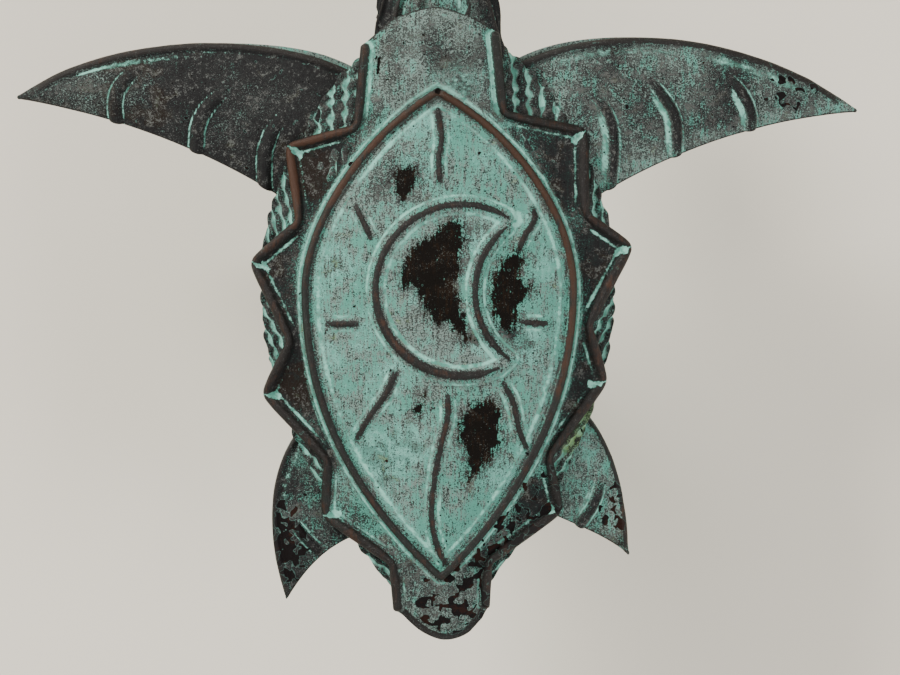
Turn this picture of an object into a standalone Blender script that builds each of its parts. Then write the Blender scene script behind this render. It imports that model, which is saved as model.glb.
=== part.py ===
"""A sea-turtle weather vane in sheet copper, turning on a ball-topped steel spindle.

The turtle swims level with its head towards -Y, and +Z is up. The origin is the centre of the
spindle's foot, on the turning axis. The turtle's own outlines are written in millimetres in the
shell's frame, whose origin is the middle of the shell on the soldered seam between its two halves.
"""

import math

import bmesh
import bpy
from mathutils import Vector

MM = 0.001

# Heights above the spindle's foot, and the axis, which passes through the turtle's balance point.
SPINDLE_SHOWN = 80.0
TUBE_BELOW_BELLY = 80.0
BELLY_DEPTH = 27.0
SEAM_Z = SPINDLE_SHOWN + TUBE_BELOW_BELLY + BELLY_DEPTH + 3.0
AXIS_Y = -37.0

# Sheet copper and the gaps between pieces.
SHEET = 1.0
GAP = 0.4
HALF_JOINT = SHEET / 2 + GAP / 2

# The seam where the ribbed skirt meets the belly pan: one half, as two cubic curves.
SEAM_FRONT = ((40, -184), (80, -158), (125, -85), (125, -14))
SEAM_REAR = ((125, -14), (125, 75), (80, 150), (22, 216))
SEAM_NOSE = (0, -190)
SEAM_TAIL = (0, 224)

# The pointed-oval medallion on the crown of the shell, hand-bent, so its two sides differ: each
# side runs from the front point round to the rear one, as two cubic curves.
MEDALLION_POINT = (0.5, -148.0)
MEDALLION_TAIL = (-2.0, 196.7)
MEDALLION_LEFT = (
    (MEDALLION_POINT, (48.7, -119.0), (94.0, -56.6), (94.0, -5.8)),
    ((94.0, -5.8), (94.0, 67.3), (65.7, 133.9), MEDALLION_TAIL),
)
MEDALLION_RIGHT = (
    (MEDALLION_POINT, (-53.9, -118.9), (-95.6, -60.9), (-95.6, -7.0)),
    ((-95.6, -7.0), (-95.6, 63.1), (-65.6, 136.9), MEDALLION_TAIL),
)
MEDALLION_LIP = 1.2

# The star-shaped collar round it, cut by hand, so its two sides differ. Each side runs from the
# neck guard's corner through the notches and points to the tail's corner.
STAR_LEFT = (
    (51.8, -178.9), (57.5, -122.1), (105.8, -109.3), (98.0, -55.4), (131.4, -27.0), (104.4, 29.1),
    (122.8, 66.7), (78.1, 113.6), (80.2, 152.7), (32.0, 186.7), (29.1, 218.0),
)
STAR_RIGHT = (
    (-40.5, -187.4), (-46.2, -132.1), (-103.7, -120.0), (-104.4, -60.4), (-136.3, -38.3), (-106.5, 17.8),
    (-117.9, 57.5), (-78.1, 111.5), (-86.6, 149.1), (-35.5, 186.0), (-34.1, 215.8),
)
NECK_ARCH = ((-21.0, -197.6), (2.6, -204.8), (28.8, -197.6))
TAIL_ARC = ((22.9, 223.1), (10.2, 233.9), (-4.3, 239.3), (-18.8, 235.7), (-29.7, 224.9))
COLLAR_TUCK, COLLAR_LIP = 3.0, 1.5
BEAD_RADIUS, BEAD_SUNK = 2.8, 0.3

# The shell's dome, and the barrel-shaped guard that arches over the neck.
EDGE_RISE = 7.0
CROWN_RISE = 27.0
GUARD_TOP = 31.0
GUARD_DROP = 14.0
GUARD_HALF = 52.0
GUARD_STARTS, GUARD_FULL = 105.0, 165.0
GUARD_FADES, GUARD_GONE = 50.0, 82.0
COLLAR_BELOW = 2.2
SKIRT_BELOW = 5.8
SKIRT_INNER = 0.72
SKIRT_POWER = 2.2
BELLY_POWER = 2.6

# Flippers: leading and trailing edges as cubic curves from root to tip, droop and hollow depth.
FLIPPERS = {
    "front_flipper_left": {
        "lead": ((60, -162), (124, -195), (238, -190), (301, -145.5)),
        "trail": ((95, -62), (160, -108), (235, -133), (300.5, -144.2)),
        "root_z": -6.5, "droop": 34.0, "droop_power": 1.6, "depth": 7.5, "columns": 12, "rows": 4,
    },
    "front_flipper_right": {
        "lead": ((-52, -166), (-118, -202), (-223.5, -192.5), (-299.5, -136)),
        "trail": ((-98, -64), (-160, -106), (-232, -130), (-299, -134.7)),
        "root_z": -6.5, "droop": 34.0, "droop_power": 1.6, "depth": 7.5, "columns": 12, "rows": 4,
    },
    "rear_flipper_left": {
        "lead": ((85, 78), (130, 115), (120, 175), (108.5, 213)),
        "trail": ((45, 163), (75, 170), (92, 187), (107.2, 212.4)),
        "root_z": -6.5, "droop": 11.0, "droop_power": 1.4, "depth": 5.0, "columns": 8, "rows": 4,
    },
    "rear_flipper_right": {
        "lead": ((-92, 68), (-132, 100), (-132, 145), (-136.5, 181)),
        "trail": ((-62, 143), (-95, 160), (-118, 165), (-135.4, 181.6)),
        "root_z": -6.5, "droop": 11.0, "droop_power": 1.4, "depth": 5.0, "columns": 8, "rows": 4,
    },
}
ROOT_TAB_SCALE = 0.7
ROOT_TAB_Z = -5.0
UNDERSIDE_SHARE = 0.55
HOLLOW_POWER = 0.6
TIP_HOLLOW = 0.8

# Neck sleeve and head, whose two halves meet at the mouth line.
NECK_BACK, NECK_FRONT = -150.0, -240.0
NECK_HALF_WIDTH = (44.5, 40.0)
NECK_HALF_HEIGHT = (17.0, 13.5)
NECK_Z = 1.5
HEAD_Y = -270.0
HEAD_REAR = ((0, 48), (36, 48), (47, 32), (47, 8))
HEAD_NOSE = ((47, 8), (47, -32), (20, -58), (0, -66))
CROWN_HEIGHT, JAW_DEPTH = 24.0, 13.0
HEAD_FLATNESS, HEAD_ROUNDNESS = 4, 0.7
MOUTH_Z = 1.0
BEAK_DROP = 6.0
EYE_RADIUS = 6.0
EYE_PLACE = (36.0, -292.0, 9.0)

# The pivot, in millimetres above the spindle's foot.
TUBE_OUTER, TUBE_BORE = 9.5, 8.0
ROD_RADIUS = 6.35
RUNNING_GAP = 0.15
TUBE_FOOT = SPINDLE_SHOWN + 2.0
TUBE_TOP = SEAM_Z + 22.0
CAP_PLUG, CAP_FLANGE = 12.0, 3.0
BALL_RADIUS = 4.76
BALL_Z = TUBE_TOP - CAP_PLUG - 2.5
ROD_TOP = BALL_Z - 2.5
BUSH_LENGTH = 14.0
SCREW_Z = TUBE_FOOT + 25.0
GROOVE_DEPTH, GROOVE_HALF = 1.15, 3.2
ROD_CHAMFER, ROD_FOOT_CHAMFER = 0.5, 1.0
SCREW_RADIUS, SCREW_HEAD_RADIUS, SCREW_HEAD_HEIGHT = 2.5, 4.5, 3.2
SCREW_TIP_RADIUS, SCREW_CHAMFER = 5.65, 0.6
FLANGE_RADIUS, FLANGE_THICKNESS = 23.0, 2.0
SADDLE_RADIUS, SADDLE_THICKNESS, SADDLE_BOSS_RADIUS = 18.0, 1.5, 8.0
SADDLE_CLEAR = 0.6
SPINE_WIDTH, SPINE_THICKNESS, SPINE_EYE_RADIUS = 14.0, 3.0, 14.0
SPINE_FRONT, SPINE_REAR, SPINE_TOP = -158.0, 186.0, -1.5
SPAR_RADIUS = 2.5
SPAR_PATH = ((0, -118, -8.0), (74, -120, -8.0), (106, -126, -8.5), (165, -139, -14.5))

ROUND_SEGMENTS = 28

# How finely the round sheets are divided: directions round the shell, and round the neck and head.
SHELL_COLUMNS = 44
STAR_COLUMNS = 60
NECK_COLUMNS = 28
HULL_CLEAR = 2.2
HULL_WIDER = 1.7
BODY_COLLECTION = "sea_turtle_weather_vane"
TOOL_COLLECTION = "cutters"

COPPER = {
    "verdigris": ((0.28, 0.52, 0.44), 0.85, 0.1),
    "dark_copper": ((0.10, 0.085, 0.075), 0.6, 0.6),
    "brass": ((0.55, 0.40, 0.16), 0.35, 1.0),
    "bronze": ((0.42, 0.27, 0.13), 0.4, 1.0),
    "steel": ((0.45, 0.45, 0.46), 0.3, 1.0),
    "eye_brass": ((0.32, 0.22, 0.10), 0.3, 1.0),
}


# ---------------------------------------------------------------- scene and materials

def clear_scene():
    for obj in list(bpy.data.objects):
        bpy.data.objects.remove(obj, do_unlink=True)


def make_collection(name):
    found = bpy.data.collections.new(name)
    bpy.context.scene.collection.children.link(found)
    return found


def make_material(name):
    colour, roughness, metallic = COPPER[name]
    material = bpy.data.materials.new(name)
    material.use_nodes = True
    shader = material.node_tree.nodes["Principled BSDF"]
    shader.inputs["Base Color"].default_value = (*colour, 1.0)
    shader.inputs["Roughness"].default_value = roughness
    shader.inputs["Metallic"].default_value = metallic
    return material


clear_scene()
BODY = make_collection(BODY_COLLECTION)
TOOLS = make_collection(TOOL_COLLECTION)
TOOLS.hide_render = True
MATERIALS = {name: make_material(name) for name in COPPER}


def make_empty(name, z):
    empty = bpy.data.objects.new(name, None)
    empty.location = (0, 0, z * MM)
    BODY.objects.link(empty)
    return empty


# The turtle turns about this empty, and its pieces are placed from the shell's middle.
VANE_PIVOT = make_empty("vane_pivot", 0)
SPINDLE_BASE = make_empty("spindle_base", 0)
SHELL_PLACE = Vector((0, -AXIS_Y, SEAM_Z)) * MM


def add_object(name, mesh, material, parent, place, smooth=35):
    """A part: its mesh, material, parent empty and place under it."""
    obj = bpy.data.objects.new(name, mesh)
    obj.parent = parent
    obj.location = place
    if material:
        mesh.materials.append(MATERIALS[material])
    BODY.objects.link(obj)
    mesh.shade_smooth()
    mesh.set_sharp_from_angle(angle=math.radians(smooth))
    return obj


def as_tool(obj):
    """Hides a cutter, or a shape that is joined into another."""
    for collection in list(obj.users_collection):
        collection.objects.unlink(obj)
    TOOLS.objects.link(obj)
    obj.hide_render = True
    obj.display_type = "WIRE"
    return obj


def boolean(obj, tool, operation):
    modifier = obj.modifiers.new(operation.lower() + "_" + tool.name, "BOOLEAN")
    modifier.object = tool
    modifier.operation = operation
    modifier.solver = "EXACT"


def solidify(obj, thickness=SHEET):
    modifier = obj.modifiers.new("sheet", "SOLIDIFY")
    modifier.thickness = thickness * MM
    modifier.offset = 0
    return obj


# ---------------------------------------------------------------- outlines and heights

def cubic(points, t):
    a, b, c, d = (Vector(p) for p in points)
    s = 1 - t
    return a * s**3 + b * 3 * s * s * t + c * 3 * s * t * t + d * t**3


def sampled(points, count=14):
    return [tuple(cubic(points, i / count)) for i in range(count)]


def mirrored_outline(front, rear, nose, tail, count=14):
    """A closed outline from the curves of its left half, running down that side and up the other."""
    left = sampled(front, count) + sampled(rear, count) + [rear[-1]]
    if front[0] == nose:
        left = left[1:-1]
    right = [(-x, y) for x, y in reversed(left)]
    return [nose] + left + [tail] + right


SEAM = mirrored_outline(SEAM_FRONT, SEAM_REAR, SEAM_NOSE, SEAM_TAIL)
MEDALLION = (
    sampled(MEDALLION_LEFT[0]) + sampled(MEDALLION_LEFT[1]) + [MEDALLION_TAIL]
    + (sampled(MEDALLION_RIGHT[0]) + sampled(MEDALLION_RIGHT[1]))[:0:-1]
)
STAR = list(STAR_LEFT) + list(TAIL_ARC) + list(reversed(STAR_RIGHT)) + list(NECK_ARCH)
HEAD = mirrored_outline(HEAD_REAR, HEAD_NOSE, HEAD_REAR[0], HEAD_NOSE[-1], 7)


def radius_along(outline, angle):
    """How far from the outline's centre it lies in this direction."""
    dx, dy = math.cos(angle), math.sin(angle)
    best = 0.0
    for (ax, ay), (bx, by) in zip(outline, outline[1:] + outline[:1]):
        ex, ey = bx - ax, by - ay
        across = dx * ey - dy * ex
        if abs(across) < 1e-12:
            continue
        reach = (ax * ey - ay * ex) / across
        share = (ax * dy - ay * dx) / across
        if reach > 0 and -1e-9 <= share <= 1 + 1e-9:
            best = max(best, reach)
    return best


def smoothstep(low, high, value):
    t = min(1.0, max(0.0, (value - low) / (high - low)))
    return t * t * (3 - 2 * t)


def seam_share(x, y):
    """0 at the middle of the shell, 1 on the seam."""
    return math.hypot(x, y) / radius_along(SEAM, math.atan2(y, x))


def shell_height(x, y):
    """The medallion's surface above the seam."""
    dome = EDGE_RISE + CROWN_RISE * (1 - seam_share(x, y) ** 2)
    arch = GUARD_TOP - GUARD_DROP * min(1.0, (x / GUARD_HALF) ** 2)
    over_neck = smoothstep(GUARD_STARTS, GUARD_FULL, -y)
    over_neck *= 1 - smoothstep(GUARD_FADES, GUARD_GONE, abs(x))
    return dome + over_neck * (arch - dome)


def collar_height(x, y):
    return shell_height(x, y) - COLLAR_BELOW


def skirt_height(x, y):
    inward = max(0.0, (seam_share(x, y) - SKIRT_INNER) / (1 - SKIRT_INNER))
    return (shell_height(x, y) - SKIRT_BELOW) * (1 - min(1.0, inward) ** SKIRT_POWER)


def belly_height(x, y):
    return -BELLY_DEPTH * (1 - min(1.0, seam_share(x, y)) ** BELLY_POWER)


# ---------------------------------------------------------------- sheet surfaces

def surface(name, columns, rows, place, material=None):
    """A grid laid out by place(u, v), in millimetres, with touching edges welded."""
    bm = bmesh.new()
    bmesh.ops.create_grid(bm, x_segments=columns, y_segments=rows, size=0.5)
    for vertex in bm.verts:
        u, v = vertex.co.x + 0.5, vertex.co.y + 0.5
        vertex.co = Vector(place(u, v)) * MM
    bmesh.ops.remove_doubles(bm, verts=bm.verts, dist=1e-6)
    bmesh.ops.dissolve_degenerate(bm, edges=bm.edges, dist=1e-6)
    bmesh.ops.recalc_face_normals(bm, faces=bm.faces)
    mesh = bpy.data.meshes.new(name)
    bm.to_mesh(mesh)
    bm.free()
    return add_object(name, mesh, material, VANE_PIVOT, SHELL_PLACE)


def even_angles(count):
    return [2 * math.pi * i / count for i in range(count + 1)]


def angles_with_corners(corners, count):
    """Directions round the shell that hit every corner of an outline, evened out between them."""
    turns = sorted(math.atan2(y, x) % (2 * math.pi) for x, y in corners)
    angles = []
    for start, end in zip(turns, turns[1:] + [turns[0] + 2 * math.pi]):
        steps = max(1, round((end - start) / (2 * math.pi) * count))
        angles += [start + (end - start) * i / steps for i in range(steps)]
    return angles + [angles[0] + 2 * math.pi]


def ring_sheet(name, angles, rings, inner, outer, height, material):
    """A sheet between two radii, each a function of direction, at a height over the seam."""

    def place(u, v):
        angle = angles[round(u * (len(angles) - 1))]
        radius = inner(angle) + (outer(angle) - inner(angle)) * v
        x, y = radius * math.cos(angle), radius * math.sin(angle)
        return x, y, height(x, y)

    return solidify(surface(name, len(angles) - 1, rings, place, material))


def lens_solid(name, outline, top, bottom, columns, rows=17):
    """A cutter that fills an outline from bottom(x, y) to top(x, y) and stands clear of both."""
    widest = math.sin(math.pi * (rows // 2) / rows)

    def place(u, v):
        angle = 2 * math.pi * u
        share = min(1.0, math.sin(math.pi * v) / widest)
        reach = radius_along(outline, angle) * share
        x, y = reach * math.cos(angle), reach * math.sin(angle)
        z = top(x, y) + HULL_CLEAR if v > 0.5 else bottom(x, y) - HULL_CLEAR
        reach += HULL_WIDER * share
        return reach * math.cos(angle), reach * math.sin(angle), z

    return as_tool(surface(name, columns, rows, place))


def mesh_from_curve(name, points, radius, closed, resolution=1):
    """A round rod along points, made a mesh so that it can be cut and joined."""
    curve = bpy.data.curves.new(name, "CURVE")
    curve.dimensions = "3D"
    curve.bevel_depth = radius * MM
    curve.bevel_resolution = resolution
    curve.use_fill_caps = True
    spline = curve.splines.new("POLY")
    spline.points.add(len(points) - 1)
    for slot, point in zip(spline.points, points):
        slot.co = (*(Vector(point) * MM), 1)
    spline.use_cyclic_u = closed
    guide = bpy.data.objects.new(name + "_guide", curve)
    BODY.objects.link(guide)
    guide.parent = VANE_PIVOT
    guide.location = SHELL_PLACE
    bpy.context.view_layer.update()
    evaluated = guide.evaluated_get(bpy.context.evaluated_depsgraph_get())
    mesh = bpy.data.meshes.new_from_object(evaluated)
    bm = bmesh.new()
    bm.from_mesh(mesh)
    bmesh.ops.remove_doubles(bm, verts=bm.verts, dist=1e-6)
    bmesh.ops.recalc_face_normals(bm, faces=bm.faces)
    bm.to_mesh(mesh)
    bm.free()
    bpy.data.objects.remove(guide)
    return mesh


def bead(owner, name, outline, height, closed):
    """A raised rolled edge on top of a sheet, joined to it."""
    lift = BEAD_RADIUS - BEAD_SUNK
    points = [(x, y, height(x, y) + lift) for x, y in outline]
    mesh = mesh_from_curve(name, points, BEAD_RADIUS, closed)
    boolean(owner, as_tool(add_object(name, mesh, None, VANE_PIVOT, SHELL_PLACE)), "UNION")


def subdivided(outline, longest=26.0):
    """The same polyline with long edges split, so that it can follow a dome."""
    points = []
    for (ax, ay), (bx, by) in zip(outline, outline[1:]):
        steps = max(1, math.ceil(math.hypot(bx - ax, by - ay) / longest))
        points += [(ax + (bx - ax) * i / steps, ay + (by - ay) * i / steps) for i in range(steps)]
    return points + [outline[-1]]


# ---------------------------------------------------------------- turned pivot parts

def turned(name, profile, material, parent, segments=ROUND_SEGMENTS):
    """A lathe-turned part from its half profile, listed down its outer side, in millimetres."""
    mesh = bpy.data.meshes.new(name)
    points = [(r * MM, 0, z * MM) for r, z in profile]
    mesh.from_pydata(points, [(i, i + 1) for i in range(len(points) - 1)], [])
    obj = add_object(name, mesh, material, parent, (0, 0, 0))
    screw = obj.modifiers.new("turn", "SCREW")
    screw.axis = "Z"
    screw.steps = screw.render_steps = segments
    screw.use_merge_vertices = True
    screw.merge_threshold = 0.00001
    screw.use_smooth_shade = True
    return obj


def ring_profile(inner, outer, bottom, top):
    return [(inner, top), (outer, top), (outer, bottom), (inner, bottom), (inner, top)]


def cylinder_tool(name, radius, bottom, top, x=0.0, y=0.0):
    bm = bmesh.new()
    bmesh.ops.create_cone(
        bm, cap_ends=True, segments=ROUND_SEGMENTS, radius1=radius * MM, radius2=radius * MM,
        depth=(top - bottom) * MM,
    )
    mesh = bpy.data.meshes.new(name)
    bm.to_mesh(mesh)
    bm.free()
    place = Vector((x, y, (top + bottom) / 2)) * MM
    return as_tool(add_object(name, mesh, None, VANE_PIVOT, place))


def sphere(name, radius, place, material=None, parent=VANE_PIVOT, segments=20):
    bm = bmesh.new()
    bmesh.ops.create_uvsphere(bm, u_segments=segments, v_segments=segments // 2, radius=radius * MM)
    mesh = bpy.data.meshes.new(name)
    bm.to_mesh(mesh)
    bm.free()
    return add_object(name, mesh, material, parent, Vector(place) * MM)


# ---------------------------------------------------------------- the shell

def build_shell():
    medallion = ring_sheet(
        "carapace_medallion", even_angles(SHELL_COLUMNS), 4, lambda a: 0.0,
        lambda a: radius_along(MEDALLION, a) + MEDALLION_LIP, shell_height, "verdigris",
    )
    bead(medallion, "medallion_bead", MEDALLION, shell_height, True)

    collar = ring_sheet(
        "carapace_collar", angles_with_corners(STAR, STAR_COLUMNS), 2,
        lambda a: radius_along(MEDALLION, a) - COLLAR_TUCK,
        lambda a: radius_along(STAR, a) + COLLAR_LIP, collar_height, "dark_copper",
    )
    bead(collar, "collar_bead_left", subdivided(STAR_LEFT), collar_height, False)
    bead(collar, "collar_bead_right", subdivided(STAR_RIGHT), collar_height, False)

    skirt = ring_sheet(
        "carapace_skirt", even_angles(SHELL_COLUMNS), 3,
        lambda a: radius_along(SEAM, a) * SKIRT_INNER, lambda a: radius_along(SEAM, a),
        lambda x, y: skirt_height(x, y) + HALF_JOINT, "verdigris",
    )
    plastron = ring_sheet(
        "plastron", even_angles(SHELL_COLUMNS), 5, lambda a: 0.0, lambda a: radius_along(SEAM, a),
        lambda x, y: belly_height(x, y) - HALF_JOINT, "verdigris",
    )
    return skirt, plastron


def body_hull():
    """The shell and belly as one solid, a hair oversize, which the neck and flippers butt against."""
    return lens_solid("body_hull", SEAM, skirt_height, belly_height, SHELL_COLUMNS)


# ---------------------------------------------------------------- flippers, neck and head

def flipper_sheet(name, shape, side, hull):
    """One half of a hollow flipper: side +1 is the top sheet and -1 the underside."""
    columns, rows = shape["columns"], shape["rows"]
    share = 1.0 if side > 0 else UNDERSIDE_SHARE

    def place(u, v):
        along = max(0.0, u * columns - 1) / (columns - 1)
        point = cubic(shape["lead"], along).lerp(cubic(shape["trail"], along), v)
        middle = shape["root_z"] - shape["droop"] * along ** shape["droop_power"]
        deepest = shape["depth"] * (1 - along) ** HOLLOW_POWER + TIP_HOLLOW
        hollow = deepest * share * 4 * v * (1 - v)
        if u < 1e-6:
            point, middle, hollow = point * ROOT_TAB_SCALE, ROOT_TAB_Z, 0.0
        return point.x, point.y, middle + side * (hollow + HALF_JOINT)

    sheet = solidify(surface(name, columns, rows, place, "dark_copper"))
    boolean(sheet, hull, "DIFFERENCE")
    return sheet


def build_flippers(hull):
    for name, shape in FLIPPERS.items():
        flipper_sheet(name + "_top", shape, 1, hull)
        flipper_sheet(name + "_underside", shape, -1, hull)


def mouth_height(y):
    """The mouth line, which hooks down towards the beak's tip."""
    return MOUTH_Z - BEAK_DROP * smoothstep(20, 66, -y) ** 2


def head_share(x, y):
    return min(1.0, math.hypot(x, y) / radius_along(HEAD, math.atan2(y, x))) if x or y else 0.0


def head_fullness(x, y):
    return (1 - head_share(x, y) ** HEAD_FLATNESS) ** HEAD_ROUNDNESS


def crown_height(x, y):
    return mouth_height(y) + CROWN_HEIGHT * head_fullness(x, y)


def jaw_height(x, y):
    return mouth_height(y) - JAW_DEPTH * head_fullness(x, y)


def head_sheet(name, height, offset):
    sheet = ring_sheet(
        name, even_angles(NECK_COLUMNS), 5, lambda a: 0.0, lambda a: radius_along(HEAD, a),
        lambda x, y: height(x, y) + offset, "dark_copper",
    )
    sheet.location += Vector((0, HEAD_Y, 0)) * MM
    return sheet


def build_head_and_neck(hull):
    crown = head_sheet("head_crown", crown_height, HALF_JOINT)
    head_sheet("head_jaw", jaw_height, -HALF_JOINT)
    for side, name in ((1, "eye_left"), (-1, "eye_right")):
        x, y, z = EYE_PLACE
        place = SHELL_PLACE / MM + Vector((side * x, y, z))
        sphere(name, EYE_RADIUS, place, "eye_brass", segments=12)
        boolean(crown, as_tool(sphere(name + "_hole", EYE_RADIUS + GAP, place, segments=12)), "DIFFERENCE")

    head_hull = lens_solid("head_hull", HEAD, crown_height, jaw_height, NECK_COLUMNS)
    head_hull.location += Vector((0, HEAD_Y, 0)) * MM

    def place(u, v):
        angle = 2 * math.pi * u
        wide = NECK_HALF_WIDTH[0] + (NECK_HALF_WIDTH[1] - NECK_HALF_WIDTH[0]) * v * v
        tall = NECK_HALF_HEIGHT[0] + (NECK_HALF_HEIGHT[1] - NECK_HALF_HEIGHT[0]) * v
        y = NECK_BACK + (NECK_FRONT - NECK_BACK) * v
        return wide * math.cos(angle), y, NECK_Z + tall * math.sin(angle)

    neck = solidify(surface("neck_sleeve", NECK_COLUMNS, 4, place, "verdigris"))
    boolean(neck, hull, "DIFFERENCE")
    boolean(neck, head_hull, "DIFFERENCE")


# ---------------------------------------------------------------- inside frame

def box(name, low, high, material=None):
    bm = bmesh.new()
    bmesh.ops.create_cube(bm, size=1.0)
    low, high = Vector(low) * MM, Vector(high) * MM
    for vertex in bm.verts:
        vertex.co = [vertex.co[k] * (high[k] - low[k]) for k in range(3)]
    mesh = bpy.data.meshes.new(name)
    bm.to_mesh(mesh)
    bm.free()
    return add_object(name, mesh, material, VANE_PIVOT, SHELL_PLACE + (low + high) / 2)


def build_inside_frame(skirt, plastron):
    """A brass bar from neck to tail, and a rod that carries the front flippers."""
    spine = box(
        "spine_bar", (-SPINE_WIDTH / 2, SPINE_FRONT, SPINE_TOP - SPINE_THICKNESS),
        (SPINE_WIDTH / 2, SPINE_REAR, SPINE_TOP), "brass",
    )
    eye = cylinder_tool(
        "spine_eye", SPINE_EYE_RADIUS, SEAM_Z + SPINE_TOP - SPINE_THICKNESS, SEAM_Z + SPINE_TOP
    )
    boolean(spine, eye, "UNION")
    boolean(spine, cylinder_tool("spine_bore", TUBE_OUTER + GAP, SEAM_Z - 20, SEAM_Z + 20), "DIFFERENCE")

    right = [(-x, y, z) for x, y, z in reversed(SPAR_PATH[1:])]
    path = right + list(SPAR_PATH)
    mesh = mesh_from_curve("flipper_spar", path, SPAR_RADIUS, False, 2)
    add_object("flipper_spar", mesh, "brass", VANE_PIVOT, SHELL_PLACE)
    mesh = mesh_from_curve("spar_hole", path, SPAR_RADIUS + GAP, False, 2)
    hole = as_tool(add_object("spar_hole", mesh, None, VANE_PIVOT, SHELL_PLACE))
    for wall in (skirt, plastron):
        boolean(wall, hole, "DIFFERENCE")


# ---------------------------------------------------------------- pivot

def build_pivot(plastron):
    tube = turned(
        "mounting_tube", ring_profile(TUBE_BORE, TUBE_OUTER, TUBE_FOOT, TUBE_TOP), "dark_copper",
        VANE_PIVOT,
    )
    boolean(plastron, cylinder_tool("tube_hole", TUBE_OUTER + GAP, SEAM_Z - 60, SEAM_Z), "DIFFERENCE")

    belly_z = SEAM_Z + belly_height(0, AXIS_Y) - SHEET - GAP
    turned(
        "belly_flange",
        ring_profile(TUBE_OUTER + GAP, FLANGE_RADIUS, belly_z - GAP - FLANGE_THICKNESS, belly_z - GAP),
        "dark_copper", VANE_PIVOT,
    )

    flange_top = TUBE_TOP + GAP + CAP_FLANGE
    plug = TUBE_BORE - RUNNING_GAP
    cap = turned(
        "tube_cap",
        [(0, flange_top), (TUBE_OUTER, flange_top), (TUBE_OUTER, TUBE_TOP + GAP), (plug, TUBE_TOP + GAP),
         (plug, TUBE_TOP - CAP_PLUG), (0, TUBE_TOP - CAP_PLUG)],
        "brass", VANE_PIVOT,
    )
    saddle_top = SEAM_Z + shell_height(SADDLE_RADIUS, AXIS_Y) - SHEET / 2 - GAP - SADDLE_CLEAR
    turned(
        "crown_saddle",
        [(0, saddle_top), (SADDLE_RADIUS, saddle_top), (SADDLE_RADIUS, saddle_top - SADDLE_THICKNESS),
         (SADDLE_BOSS_RADIUS, saddle_top - SADDLE_THICKNESS), (SADDLE_BOSS_RADIUS, flange_top + GAP),
         (0, flange_top + GAP)],
        "brass", VANE_PIVOT,
    )
    for name, foot in (("lower_bush", TUBE_FOOT + 2), ("upper_bush", ROD_TOP - BUSH_LENGTH - 3)):
        turned(
            name,
            ring_profile(ROD_RADIUS + RUNNING_GAP, TUBE_BORE - RUNNING_GAP, foot, foot + BUSH_LENGTH),
            "bronze", VANE_PIVOT,
        )

    groove = ROD_RADIUS - GROOVE_DEPTH
    rod = turned(
        "spindle_rod",
        [(0, ROD_TOP), (ROD_RADIUS - ROD_CHAMFER, ROD_TOP), (ROD_RADIUS, ROD_TOP - ROD_CHAMFER),
         (ROD_RADIUS, SCREW_Z + GROOVE_HALF), (groove, SCREW_Z + GROOVE_HALF),
         (groove, SCREW_Z - GROOVE_HALF), (ROD_RADIUS, SCREW_Z - GROOVE_HALF),
         (ROD_RADIUS, ROD_FOOT_CHAMFER), (ROD_RADIUS - ROD_FOOT_CHAMFER, 0), (0, 0)],
        "steel", SPINDLE_BASE,
    )
    sphere("thrust_ball", BALL_RADIUS, (0, 0, BALL_Z), "steel", SPINDLE_BASE, 16)
    seat = as_tool(sphere("ball_seat", BALL_RADIUS + GAP, (0, 0, BALL_Z), segments=16))
    boolean(cap, seat, "DIFFERENCE")
    boolean(rod, seat, "DIFFERENCE")

    head_at = TUBE_OUTER + GAP
    screw = turned(
        "retaining_screw",
        [(0, head_at + SCREW_HEAD_HEIGHT),
         (SCREW_HEAD_RADIUS - SCREW_CHAMFER, head_at + SCREW_HEAD_HEIGHT),
         (SCREW_HEAD_RADIUS, head_at + SCREW_HEAD_HEIGHT - SCREW_CHAMFER),
         (SCREW_HEAD_RADIUS, head_at),
         (SCREW_RADIUS, head_at), (SCREW_RADIUS, SCREW_TIP_RADIUS), (0, SCREW_TIP_RADIUS)],
        "brass", VANE_PIVOT, 20,
    )
    screw.location = (0, 0, SCREW_Z * MM)
    screw.rotation_euler = (math.radians(-90), 0, 0)
    hole = cylinder_tool("screw_hole", SCREW_RADIUS + GAP, -6, 6, 0, TUBE_OUTER)
    hole.location.z = SCREW_Z * MM
    hole.rotation_euler = (math.radians(90), 0, 0)
    boolean(tube, hole, "DIFFERENCE")


SKIRT, PLASTRON = build_shell()
HULL = body_hull()
build_flippers(HULL)
build_head_and_neck(HULL)
build_inside_frame(SKIRT, PLASTRON)
build_pivot(PLASTRON)
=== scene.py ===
"""Looks of the sea-turtle weather vane: embossed sheet copper under verdigris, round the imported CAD.

Outlines and relief are written in millimetres in the shell's frame: +X is the turtle's left, -Y is
towards its head, +Z is up, and the origin is the middle of the shell on the soldered seam.
"""

import math

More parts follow.
